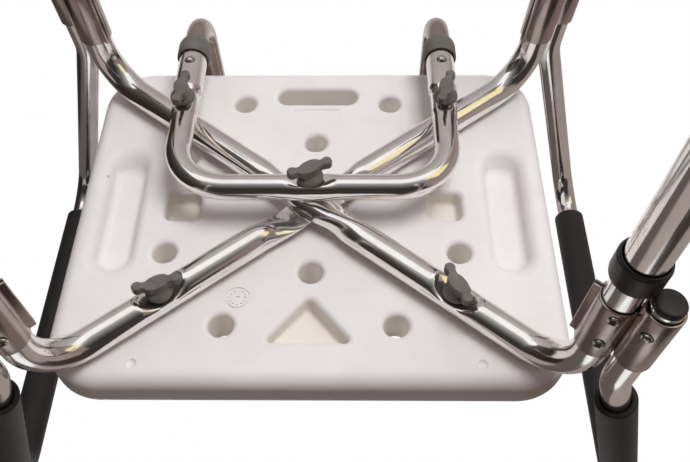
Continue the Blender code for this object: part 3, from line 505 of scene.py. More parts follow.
@dataclass
class Tube:
    """Round tube drawn along straight runs and bends."""

    corners: Sequence[Vector]
    bends: Sequence[float]
    radius: float
    sides: int = 40
    pitch: float = 0.012

    def skin(self) -> BMesh:
        """Draw the tube's outer surface, and mark how far along and around each point is.

        Returns:
            Bmesh of the open tube.
        """
        bm = bmesh.new()
        drawn = bm.verts.layers.float_vector.new("drawn")
        way = (self.corners[1] - self.corners[0]).normalized()
        frame = Matrix.Translation(self.corners[0]) @ way.to_track_quat('Z', 'Y').to_matrix().to_4x4()
        ring = bmesh.ops.create_circle(bm, segments=self.sides, radius=self.radius, matrix=frame)["verts"]
        for vertex in ring:
            vertex[drawn] = frame.inverted() @ vertex.co
        here, travelled = self.corners[0], 0.0
        for before, corner, after, bend in zip(
                self.corners, self.corners[1:], [*self.corners[2:], None], [*self.bends, 0.0]):
            way = (corner - before).normalized()
            angle = way.angle(after - corner) if bend else 0.0
            stop = corner - way * bend * math.tan(angle / 2)
            steps = max(1, math.ceil((stop - here).length / self.pitch))
            for _ in range(steps):
                made = bmesh.ops.extrude_edge_only(bm, edges=edges_within(ring))["geom"]
                ring = verts_of(made)
                bmesh.ops.translate(bm, verts=ring, vec=(stop - here) / steps)
                travelled += (stop - here).length / steps
                self.mark(ring, drawn, travelled)
            here = stop
            if not bend:
                continue
            axis = way.cross(after - corner).normalized()
            steps = max(1, math.ceil(angle / BEND_STEP))
            for _ in range(steps):
                made = bmesh.ops.spin(bm, geom=edges_within(ring), cent=stop + axis.cross(way) * bend,
                                      axis=axis, angle=angle / steps, steps=1)["geom_last"]
                ring = verts_of(made)
                travelled += bend * angle / steps
                self.mark(ring, drawn, travelled)
            here = corner + (after - corner).normalized() * bend * math.tan(angle / 2)
        bmesh.ops.recalc_face_normals(bm, faces=bm.faces)
        return bm

    @staticmethod
    def mark(ring: Sequence[BMVert], drawn: Any, travelled: float) -> None:
        """Note on a ring's points how far along the tube they are."""
        for vertex in ring:
            vertex[drawn] = (*vertex[drawn].xy, travelled)


def press(bm: BMesh, middle: Vector, along: Vector, flat: float, fade: float,
          low: float, high: float, widen: float = 0.0, bowl: bool = False) -> None:
    """Press a tube between two heights near one point of its run.

    Args:
        bm: Tube's surface, changed in place.
        middle: Point of the tube's line under the press.
        along: Way of the tube.
        flat: Half length that is fully pressed.
        fade: Half length over which the press fades out.
        low: Least height kept, from the tube's line.
        high: Greatest height kept.
        widen: Share by which the pressed tube spreads sideways.
        bowl: Whether the press is a round bowl and not a flat across the tube.
    """
    for vertex in bm.verts:
        offset = vertex.co - middle
        aside = offset - along * offset.dot(along)
        travel = offset.xy.length if bowl else abs(offset.dot(along))
        if travel >= fade or aside.length > 2 * FRAME_RADIUS:
            continue
        share = smooth_share(min(1.0, (fade - travel) / (fade - flat)))
        vertex.co.z += share * (min(max(offset.z, low), high) - offset.z)
        vertex.co += Vector((aside.x, aside.y, 0.0)) * widen * share


def mesh_of(bm: BMesh) -> Mesh:
    """Mesh of a finished bmesh."""
    mesh = bpy.data.meshes.new("finished")
    bm.to_mesh(mesh)
    bm.free()
    return mesh


def scratch_object(name: str, bm: BMesh) -> Object:
    """Scratch object of a finished bmesh."""
    made = bpy.data.objects.new(name, mesh_of(bm))
    bpy.context.scene.collection.objects.link(made)
    return made


def carve(bm: BMesh, wall: float = 0.0, joins: Sequence[BMesh] = (), cuts: Sequence[BMesh] = (),
          voxel: float = 0.0) -> Mesh:
    """Give a surface its wall, join solids to it and cut tools from it.

    Args:
        bm: Surface or solid to start from.
        wall: Wall put inside an open surface.
        joins: Solids joined to it.
        cuts: Tools cut from it.
        voxel: Cell in which the result is remeshed and smoothed, as soft mouldings need.

    Returns:
        Mesh of the result.
    """
    body = scratch_object("carved", bm)
    if wall:
        step = body.modifiers.new("wall", 'SOLIDIFY')
        step.thickness, step.offset, step.use_even_offset = wall, -1.0, True
    others = []
    for operation, solids in (('UNION', joins), ('DIFFERENCE', cuts)):
        for solid in solids:
            other = scratch_object("tool", solid)
            step = body.modifiers.new("tool", 'BOOLEAN')
            step.operation, step.solver, step.object = operation, 'EXACT', other
            others.append(other)
    if voxel:
        step = body.modifiers.new("cells", 'REMESH')
        step.mode, step.voxel_size = 'VOXEL', voxel
        step = body.modifiers.new("soften", 'SMOOTH')
        step.factor, step.iterations = 0.5, 6
    graph = bpy.context.evaluated_depsgraph_get()
    mesh = bpy.data.meshes.new_from_object(body.evaluated_get(graph))
    for item in [body, *others]:
        bpy.data.objects.remove(item)
    mesh.materials.clear()
    return mesh


def add_piece(node: str, mesh: Mesh, body: str, finish: Finish, edge: float = 0.0) -> Object:
    """Dress one CAD node with its finished piece.

    Args:
        node: CAD node that the piece stands for.
        mesh: Piece's mesh, in its place.
        body: CAD body that it moves with.
        finish: Its surface.
        edge: Radius of the rounding of its sharp edges.

    Returns:
        The piece's object.
    """
    piece = bpy.data.objects.new("finished_" + node, mesh)
    mesh.name = piece.name
    bpy.context.scene.collection.objects.link(piece)
    mesh.materials.append(finish.material())
    mesh.shade_smooth()
    mesh.set_sharp_from_angle(angle=SHARP_ANGLE)
    if edge:
        step = piece.modifiers.new("edge", 'BEVEL')
        step.width, step.segments, step.limit_method = edge, EDGE_SEGMENTS, 'ANGLE'
        step.angle_limit, step.harden_normals = SHARP_ANGLE, True
    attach(piece, body)
    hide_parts(node)
    LOG.info("%s: %d faces, rides on %s", piece.name, len(mesh.polygons), body)
    return piece


def even_shading(piece: Object) -> None:
    """Shade a moulded piece by the size of its faces, so that its flats look flat."""
    step = piece.modifiers.new("even shading", 'WEIGHTED_NORMAL')
    step.keep_sharp = True


@dataclass
class Seat:
    """Blow-moulded seat with soft-lipped drain holes, pockets and finger troughs."""

    size: Vector = Vector((0.416, 0.346, 0.038))
    backset: float = 0.010
    corner: float = 0.045
    rim: float = 0.013
    drain_radius: float = 0.010
    drains: Sequence[tuple[float, float]] = (
        (0.070, 0.136), (0.118, 0.066), (0.125, -0.040), (0.070, -0.111))
    centre_drains: Sequence[float] = (0.085, -0.060)
    slot: tuple[float, float, float] = (0.077, 0.020, 0.146)
    square_side: float = 0.031
    square_place: tuple[float, float] = (0.115, 0.010)
    triangle: tuple[float, float, float] = (0.070, 0.042, -0.084)
    pocket_depth: float = 0.016
    trough: tuple[float, float] = (0.034, 0.136)
    trough_place: tuple[float, float] = (0.170, 0.007)
    trough_depth: float = 0.017
    dimple_place: tuple[float, float] = (0.1357, -0.1453)
    ring_place: tuple[float, float] = (0.0585, -0.086)
    dimple: Sequence[tuple[float, float]] = (
        (0.0, 0.0020), (0.0022, 0.0017), (0.0036, 0.0008), (0.0043, -0.0004), (0.0043, -0.002),
        (0.0, -0.002))
    ring: tuple[float, float] = (0.0088, 0.0102)
    ring_room: float = 0.012
    dimple_room: float = 0.006
    ticks: int = 12
    tick_circle: float = 0.0064
    tick_radius: float = 0.0008
    hub_radius: float = 0.0018
    mark_depth: float = 0.0010
    mark_past: float = 0.002
    mark_panel: tuple[float, float, float] = (0.044, 0.011, 0.122)
    panel_depth: float = 0.0006
    panel_corner: float = 0.002
    panel_taper: float = 0.99
    panel_room: tuple[float, float] = (0.023, 0.007)
    square_corner: float = 0.007
    square_taper: float = 0.92
    triangle_corner: float = 0.006
    triangle_taper: float = 0.95
    trough_taper: float = 0.80
    trough_room: float = 0.001
    stud_depth: float = 0.019
    stud_room: float = 0.006
    trough_lips: tuple[float, float] = (0.0060, 0.0076)
    pocket_lips: tuple[float, float] = (0.0032, 0.0048)
    top_lip: float = 0.0034
    lip_segments: int = 6
    # Plan, depths and top limit of the hollows into which shade is painted
    hollow_plan: tuple[float, float, float] = (0.1450, -0.140, 0.165)
    hollow_depths: tuple[float, float] = (0.001, 0.009)
    hollow_top: float = 0.003

    def bolts(self) -> list[Vector]:
        """Places of the five bolt holes on the seat's underside."""
        return [plan(x * BOLT_X, y * BOLT_Y) for x in (-1, 1) for y in (-1, 1)] + [plan(0.0, 0.0)]

    def holes(self) -> list[tuple[float, float]]:
        """Plan places of the round drain holes."""
        both = [(side.value * x, y) for x, y in self.drains for side in Side]
        return both + [(0.0, y) for y in self.centre_drains]

    def tools(self) -> list[BMesh]:
        """Cutting tools of every opening and mark of the seat."""
        through = self.size.z + 2 * TOOL_PAST
        made = [rods([(plan(x, y, TOOL_PAST), plan(x, y, -through), self.drain_radius)
                      for x, y in self.holes()], TUBE_SIDES)]
        slot_width, slot_depth, slot_y = self.slot
        made.append(pocket(box_corners(slot_width, slot_depth), plan(0.0, slot_y), through,
                           slot_depth / 2, 1.0))
        square_x, square_y = self.square_place
        trough_x, trough_y = self.trough_place
        for side in Side:
            made.append(pocket(box_corners(self.square_side, self.square_side),
                               plan(side.value * square_x, square_y), self.pocket_depth,
                               self.square_corner, self.square_taper))
            made.append(pocket(box_corners(*self.trough), plan(side.value * trough_x, trough_y),
                               self.trough_depth, self.trough[0] / 2, self.trough_taper))
        base, depth, apex = self.triangle
        corners = [(-base / 2, -depth / 2), (base / 2, -depth / 2), (0.0, depth / 2)]
        made.append(pocket(corners, plan(0.0, apex - depth / 2), self.pocket_depth,
                           self.triangle_corner, self.triangle_taper))
        made.append(rods([(bolt + down(TOOL_PAST), bolt - down(self.stud_depth), STUD_HOLE)
                          for bolt in self.bolts()], STUD_SIDES))
        return made + self.marks()

    def marks(self) -> list[BMesh]:
        """Tools for the shallow moulding marks: two dimples, a plain dial and a plain panel."""
        below = down(self.mark_past)
        made = []
        for side in Side:
            dimple = lathe(self.dimple, steps=32)
            bmesh.ops.translate(dimple, verts=dimple.verts,
                                vec=plan(side.value * self.dimple_place[0], self.dimple_place[1]))
            made.append(dimple)
        dial, deep = plan(*self.ring_place), Vector((0.0, 0.0, self.mark_depth))
        inner, outer = self.ring
        ring = lathe([(inner, below.z), (outer, below.z), (outer, deep.z), (inner, deep.z)], True)
        bmesh.ops.translate(ring, verts=ring.verts, vec=dial)
        made.append(ring)
        turns = [math.tau * step / self.ticks for step in range(self.ticks)]
        ticks = [dial + Vector((math.cos(turn), math.sin(turn), 0.0)) * self.tick_circle for turn in turns]
        dots = [(tick, self.tick_radius) for tick in ticks] + [(dial, self.hub_radius)]
        made.append(rods([(spot + below, spot + deep, radius) for spot, radius in dots], 16))
        width, depth, y = self.mark_panel
        made.append(pocket(box_corners(width, depth), plan(0.0, y), self.panel_depth, self.panel_corner,
                           self.panel_taper))
        return made

    def soften(self, mesh: Mesh) -> Mesh:
        """Round the lips and the floors of the openings, as blow moulding leaves them.

        Args:
            mesh: Seat with sharp openings.

        Returns:
            The same mesh with soft lips.
        """
        bm = bmesh.new()
        bm.from_mesh(mesh)
        bmesh.ops.remove_doubles(bm, verts=bm.verts, dist=MERGE)
        top = UNDERSIDE + self.size.z
        pocket_floor = UNDERSIDE + self.pocket_depth
        trough_floor = UNDERSIDE + self.trough_depth
        trough_edge = self.trough_place[0] - self.trough[0] / 2 - self.trough_room

        def near_stud(middle: Vector) -> bool:
            """Whether an edge belongs to a bolt hole."""
            return min((middle.xy - bolt.xy).length for bolt in self.bolts()) < self.stud_room

        lips: list[tuple[float, float, Callable[[Vector], bool]]] = [
            (trough_floor, self.trough_lips[0], lambda m: abs(m.x) > trough_edge),
            (UNDERSIDE, self.trough_lips[1], lambda m: abs(m.x) > trough_edge),
            (pocket_floor, self.pocket_lips[0], lambda m: abs(m.x) < trough_edge),
            (UNDERSIDE, self.pocket_lips[1], lambda m: abs(m.x) < trough_edge and not near_stud(m)),
            (top, self.top_lip, lambda m: True),
        ]
        for height, width, belongs in lips:
            chosen = []
            for edge in bm.edges:
                middle = (edge.verts[0].co + edge.verts[1].co) / 2
                level = all(abs(v.co.z - height) < SAME_LEVEL for v in edge.verts)
                if not level or len(edge.link_faces) != 2 or edge.calc_face_angle() < SHARP_ANGLE:
                    continue
                if self.is_opening(middle) and belongs(middle):
                    chosen.append(edge)
            round_edges(bm, chosen, width, self.lip_segments)
        self.paint_hollow_shade(bm)
        bm.to_mesh(mesh)
        bm.free()
        return mesh

    def paint_hollow_shade(self, bm: BMesh) -> None:
        """Note how far inside a hollow each point of the seat is, from 0 to 1, which sets how much shade is
        painted there.

        Args:
            bm: Seat, which takes the layer.
        """
        layer = bm.verts.layers.float.new("hollow")
        half_width, front, rear = self.hollow_plan
        shallow, deep = self.hollow_depths
        below_top = self.size.z - self.hollow_top
        for vertex in bm.verts:
            offset = vertex.co - plan(0.0, 0.0)
            if abs(offset.x) < half_width and front < offset.y < rear and offset.z < below_top:
                vertex[layer] = min(max((offset.z - shallow) / (deep - shallow), 0.0), 1.0)

    def is_opening(self, middle: Vector) -> bool:
        """Whether an edge is on an opening that has a soft lip, and not on a shallow mark."""
        x, y = self.dimple_place
        spots = [(side.value * x, y, self.dimple_room) for side in Side]
        spots.append((*self.ring_place, self.ring_room))
        for x, y, reach in spots:
            if (middle.xy - plan(x, y).xy).length < reach:
                return False
        offset = middle - plan(0.0, self.mark_panel[2])
        return abs(offset.x) > self.panel_room[0] or abs(offset.y) > self.panel_room[1]

    def build(self) -> None:
        """Build the seat and dress its node."""
        blank = slab(self.size, self.corner, self.rim, 16)
        middle = plan(0.0, self.backset, -self.size.z / 2)
        bmesh.ops.translate(blank, verts=blank.verts, vec=middle)
        mesh = self.soften(carve(blank, cuts=self.tools()))
        even_shading(add_piece("seat_panel", mesh, "frame", WHITE_POLYETHYLENE))


@dataclass
class CrossFrame:
    """Two bent frame tubes, pressed into each other where they cross and dished at the bolts."""

    bend: float = 0.045
    pressed: float = 0.0050
    crossing: tuple[float, float] = (0.020, 0.056)
    folds: tuple[float, float] = (0.004, 0.062)
    fold_pitch: float = 0.090
    fold_depth: float = 0.20
    dish: tuple[float, float] = (0.0105, 0.0225)
    fold_lobes: int = 3
    spread: float = 0.12
    parting: float = 0.0004
    leg_end: float = 0.287
    rivet_start: float = 0.006
    pitch: float = 0.0028

    def build(self) -> None:
        """Build both tubes and dress their nodes."""
        self.build_tube(Side.LEFT, self.parting, FRAME_RADIUS)
        self.build_tube(Side.RIGHT, -FRAME_RADIUS, -self.parting)

    def crumple(self, bm: BMesh, middle: Vector, along: Vector) -> None:
        """Fold the tube's wall inwards beside the crossing, as crushing leaves it.

        Args:
            bm: Tube's surface, changed in place.
            middle: Point of the tube's line at the crossing.
            along: Way of the tube.
        """
        start, stop = self.folds
        across = along.cross(Vector((0.0, 0.0, 1.0)))
        for vertex in bm.verts:
            offset = vertex.co - middle
            travel = abs(offset.dot(along))
            aside = offset - along * offset.dot(along)
            if not start < travel < stop or aside.length > 2 * FRAME_RADIUS:
                continue
            fade = math.sin(math.pi * (travel - start) / (stop - start)) ** 2
            turn = math.atan2(aside.z, aside.dot(across))
            wave = 0.5 + 0.5 * math.sin(travel * math.tau / self.fold_pitch + self.fold_lobes * turn)
            vertex.co -= aside * self.fold_depth * fade * wave

    def build_tube(self, side: Side, low: float, high: float) -> None:
        """Build one tube.

        Args:
            side: Side of its front end.
            low: Least height kept at the crossing.
            high: Greatest height kept at the crossing.
        """
        x = side.value
        front = plan(x * CORNER_X, -CORNER_Y, FRAME_DROP)
        rear = plan(-x * CORNER_X, CORNER_Y, FRAME_DROP)
        middle = plan(0.0, 0.0, FRAME_DROP)
        along = (rear - front).normalized()
        opposite = Side(-x)
        corners = [leg_point(side, End.FRONT, self.leg_end), front, rear,
                   leg_point(opposite, End.REAR, self.leg_end)]
        bm = Tube(corners, [self.bend, self.bend], FRAME_RADIUS, WIDE_SIDES, self.pitch).skin()
        press(bm, middle, along, *self.crossing, low, high, self.spread)
        self.crumple(bm, middle, along)
        reach = math.hypot(BOLT_X, BOLT_Y)
        press(bm, middle - along * reach, along, *self.dish, -self.pressed, FRAME_RADIUS, bowl=True)
        studs = [middle + along * travel for travel in (-reach, 0.0, reach)]
        holes = []
        for leg_side, end in ((side, End.FRONT), (opposite, End.REAR)):
            frame = leg_matrix(leg_side, end)
            face = inward_face(leg_side.value * end.value, RIVET_TURN)
            for drop in RIVETS:
                foot = down(drop)
                ends = [frame @ (foot + face * out) for out in (self.rivet_start, HOLE_REACH)]
                holes.append((*ends, RIVET_HOLE))
            button = down(LEG_BUTTON_ALONG)
            holes.append((frame @ button, frame @ (button + Vector((HOLE_REACH, 0.0, 0.0))), BUTTON_HOLE))
        mesh = carve(bm, TUBE_WALL, cuts=[stud_holes(studs), rods(holes, BUTTON_SIDES)])
        add_piece(f"cross_tube_front_{side.name.lower()}", mesh, "frame", POLISHED_ALUMINIUM)


def leg_matrix(side: Side, end: End) -> Matrix:
    """Frame of one leg: origin at the frame tube's corner, Z up along the leg, X outwards.

    Args:
        side: Leg's side.
        end: Leg's end.

    Returns:
        Matrix from the leg's frame to the row's.
    """
    up = Vector((-side.value * LEG_SPLAY, 0.0, 1.0)).normalized()
    out = Vector((side.value, 0.0, 0.0))
    out = (out - up * out.dot(up)).normalized()
    turn = Matrix((out, up.cross(out), up)).transposed().to_4x4()
    return Matrix.Translation(plan(side.value * CORNER_X, end.value * CORNER_Y, FRAME_DROP)) @ turn


def leg_point(side: Side, end: End, along: float, x: float = 0.0, y: float = 0.0) -> Vector:
    """Place of a point a distance down one leg, with offsets in the leg's own frame."""
    return leg_matrix(side, end) @ Vector((x, y, -along))


def inward_face(mirror: int, turn: float) -> Vector:
    """Way out of a leg's front or rear face, turned towards the chair's middle, in the leg's frame."""
    return Vector((-math.sin(turn), mirror * math.cos(turn), 0.0))


def diagonal_way(mirror: int) -> Vector:
    """Unit vector from a leg towards its arm socket, in the leg's frame."""
    return Vector((math.cos(DIAGONAL), mirror * math.sin(DIAGONAL), 0.0))


def back_button_hole(side: Side) -> tuple[Vector, Vector, float]:
    """Rod that drills the backrest's button hole on one side."""
    button = plan(side.value * BOLT_X, BACK_BUTTON_Y, BRACKET_DROP)
    return button, button - Vector((0.0, 0.0, HOLE_REACH)), BUTTON_HOLE


@dataclass
class Bracket:
    """U-shaped tube under the crossing, whose widened mouths take the backrest."""

    radius: float = 0.0111
    bend: float = 0.046
    pressed: float = 0.0090
    dish: float = 0.009
    dish_fade: float = 0.024
    spread: float = 0.05
    mouth_start: float = 0.107
    mouth_flare: float = 0.006
    pitch: float = 0.0022

    def build(self) -> None:
        """Build the tube and dress its node."""
        corners = [plan(x, y, BRACKET_DROP) for x, y in (
            (BOLT_X, MOUTH_END), (BOLT_X, 0.0), (-BOLT_X, 0.0), (-BOLT_X, MOUTH_END))]
        bm = Tube(corners, [self.bend, self.bend], self.radius, WIDE_SIDES, self.pitch).skin()
        for vertex in bm.verts:
            beyond = vertex.co.y - DEPTH_SHIFT - self.mouth_start
            share = smooth_share(min(max(beyond / self.mouth_flare, 0.0), 1.0))
            side = math.copysign(BOLT_X, vertex.co.x)
            grow = share * (MOUTH_RADIUS / self.radius - 1.0)
            vertex.co += Vector((vertex.co.x - side, 0.0, vertex.co.z - UNDERSIDE + BRACKET_DROP)) * grow
        back, across = Vector((0.0, 1.0, 0.0)), Vector((1.0, 0.0, 0.0))
        centre = plan(0.0, 0.0, BRACKET_DROP)
        press(bm, centre, across, self.dish, self.dish_fade, -self.pressed, self.radius, self.spread)
        fade = self.mouth_start - BOLT_Y
        spots = [centre]
        buttons = []
        for side in Side:
            spot = plan(side.value * BOLT_X, BOLT_Y, BRACKET_DROP)
            press(bm, spot, back, self.dish, fade, -self.pressed, self.radius, self.spread)
            spots.append(spot)
            buttons.append(back_button_hole(side))
        mesh = carve(bm, TUBE_WALL, cuts=[stud_holes(spots), rods(buttons, BUTTON_SIDES)])
        add_piece("backrest_bracket", mesh, "frame", POLISHED_ALUMINIUM)


@dataclass
class Knobs:
    """Wing knobs with their steel studs and washers."""

    bracket_drop: float = BRACKET_DROP + Bracket.pressed + GAP
    frame_drop: float = FRAME_DROP + CrossFrame.pressed + GAP
    hub_radius: float = 0.0112
    hub_height: float = 0.0150
    boss_radius: float = 0.0060
    plate: tuple[float, float] = (0.0110, 0.0064)
    wing: Vector = Vector((0.0130, 0.0070, 0.0074))
    wing_place: float = 0.0082
    wing_aside: float = 0.0016
    wing_rise: float = 0.14
    wing_twist: float = 0.26
    tip_radius: float = 0.0044
    washer: tuple[float, float] = (0.0085, 0.0014)
    stud_radius: float = 0.0030
    stud_past_drop: float = 0.017
    stud_below: float = 0.009
    bore_depth: float = 0.0095
    cell: float = 0.0006

    def places(self) -> dict[str, tuple[float, float, float, float]]:
        """Plan place, drop and turn of each knob."""
        return {
            "front_left": (BOLT_X, -BOLT_Y, self.frame_drop, 150),
            "front_right": (-BOLT_X, -BOLT_Y, self.frame_drop, 55),
            "rear_left": (BOLT_X, BOLT_Y, self.bracket_drop, 85),
            "rear_right": (-BOLT_X, BOLT_Y, self.bracket_drop, 95),
            "centre": (0.0, 0.0, self.bracket_drop, 145),
        }

    def knob(self) -> Mesh:
        """Mould one wing knob about its bolt's line, with its two wings set off to either side."""
        top = -self.washer[1] - GAP
        low = top - self.hub_height
        wide, boss = self.hub_radius, self.boss_radius
        hub = lathe([(0.0, top), (wide * 0.88, top), (wide, top - 0.002), (wide * 0.95, top - 0.005),
                     (boss * 1.1, low + 0.0062), (boss, low + 0.0012), (boss * 0.8, low),
                     (0.0, low + 0.0008)])
        middle = low + 0.0030
        thick = Vector((0.0, 0.0, self.wing.z / 2))
        plate = rods([(Vector((0.0, 0.0, middle)) - thick, Vector((0.0, 0.0, middle)) + thick, 1.0)], 40)
        bmesh.ops.scale(plate, verts=plate.verts, vec=(*self.plate, 1.0))
        solids = [plate]
        for side in Side:
            sign = side.value
            lean = Matrix.Identity(4)
            lean[1][0], lean[2][0] = self.wing_twist, -sign * self.wing_rise
            spot = Vector((sign * self.wing_place, sign * self.wing_aside, middle - 0.0004))
            place = Matrix.Translation(spot) @ lean
            solids.append(block(self.wing, place, 0.0012))
            tip = Vector((sign * self.wing.x / 2, 0.0, 0.0))
            solids.append(rods([(place @ (tip - thick), place @ (tip + thick), self.tip_radius)],
                               24, 0.0010))
        reach = -self.washer[1] - self.bore_depth
        bore = rods([(Vector((0, 0, 0.004)), Vector((0, 0, reach)), STUD_HOLE)], STUD_SIDES)
        return carve(hub, joins=solids, cuts=[bore], voxel=self.cell)

    def stud(self, rise: float) -> Mesh:
        """Turn one stud with its washer.

        Args:
            rise: Reach of the stud above its washer.

        Returns:
            Mesh about the bolt's line.
        """
        radius, thick = self.washer
        bm = lathe([(0.0, rise), (self.stud_radius - 0.001, rise), (self.stud_radius, rise - 0.001),
                    (self.stud_radius, 0.0), (radius - 0.0005, 0.0), (radius, -0.0005), (radius, -thick),
                    (radius - 0.0012, -thick), (self.stud_radius, -thick + 0.0004),
                    (self.stud_radius, -thick - self.stud_below), (0.0, -thick - self.stud_below)])
        return mesh_of(bm)

    def build(self) -> None:
        """Build the five knobs and dress their nodes."""
        pattern = self.knob()
        for place, (x, y, drop, turn) in self.places().items():
            frame = Matrix.Translation(plan(x, y, drop)) @ Matrix.Rotation(math.radians(turn), 4, 'Z')
            mesh = pattern.copy()
            mesh.transform(frame)
            add_piece("wing_knob_" + place, mesh, "knob_" + place, GREY_NYLON)
            stud = self.stud(drop + self.stud_past_drop)
            stud.transform(frame)
            add_piece("knob_stud_" + place, stud, "knob_" + place, BRIGHT_STEEL)


@dataclass
class SnapClip:
    """Spring strip bent to a V, with a domed button.

    The far arm stands clear of the tube's wall by the button's travel.
    """

    width: float = 0.008
    spread: float = 0.0080
    far_spread: float = 0.0042
    apex: float = 0.028
    tip: float = 0.006
    fold: float = 0.0016
    strip: float = 0.0009
    button_radius: float = 0.0040
    dome_share: float = 0.7
    dome_steps: int = 6

    def mesh(self, reach: float) -> Mesh:
        """Bend one clip, with its button towards +X and its bend towards -Z.

        Args:
            reach: Distance of the button's top from the tube's line.

        Returns:
            Mesh about the button's middle.
        """
        bm = bmesh.new()
        line = [(self.spread, self.tip), (self.fold, -self.apex), (-self.fold, -self.apex),
                (-self.far_spread, self.tip)]
        points = [bm.verts.new((x, -self.width / 2, z)) for x, z in line]
        edges = [bm.edges.new(pair) for pair in zip(points, points[1:])]
        far = verts_of(bmesh.ops.extrude_edge_only(bm, edges=edges)["geom"])
        bmesh.ops.translate(bm, verts=far, vec=(0.0, self.width, 0.0))
        bmesh.ops.recalc_face_normals(bm, faces=bm.faces)
        bmesh.ops.solidify(bm, geom=bm.faces[:], thickness=self.strip)
        bmesh.ops.recalc_face_normals(bm, faces=bm.faces)
        foot = self.spread * self.apex / (self.apex + self.tip) - 0.001
        radius = self.button_radius
        turns = [QUARTER_TURN * step / self.dome_steps for step in range(self.dome_steps)]
        dome = [(radius * math.cos(turn), reach - radius * self.dome_share * (1 - math.sin(turn)))
                for turn in turns]
        button = lathe([(0.0, foot), (radius, foot), *dome, (0.0, reach)], steps=HEAD_STEPS)
        bmesh.ops.rotate(button, verts=button.verts, matrix=Matrix.Rotation(QUARTER_TURN, 3, 'Y'))
        return carve(bm, joins=[button])


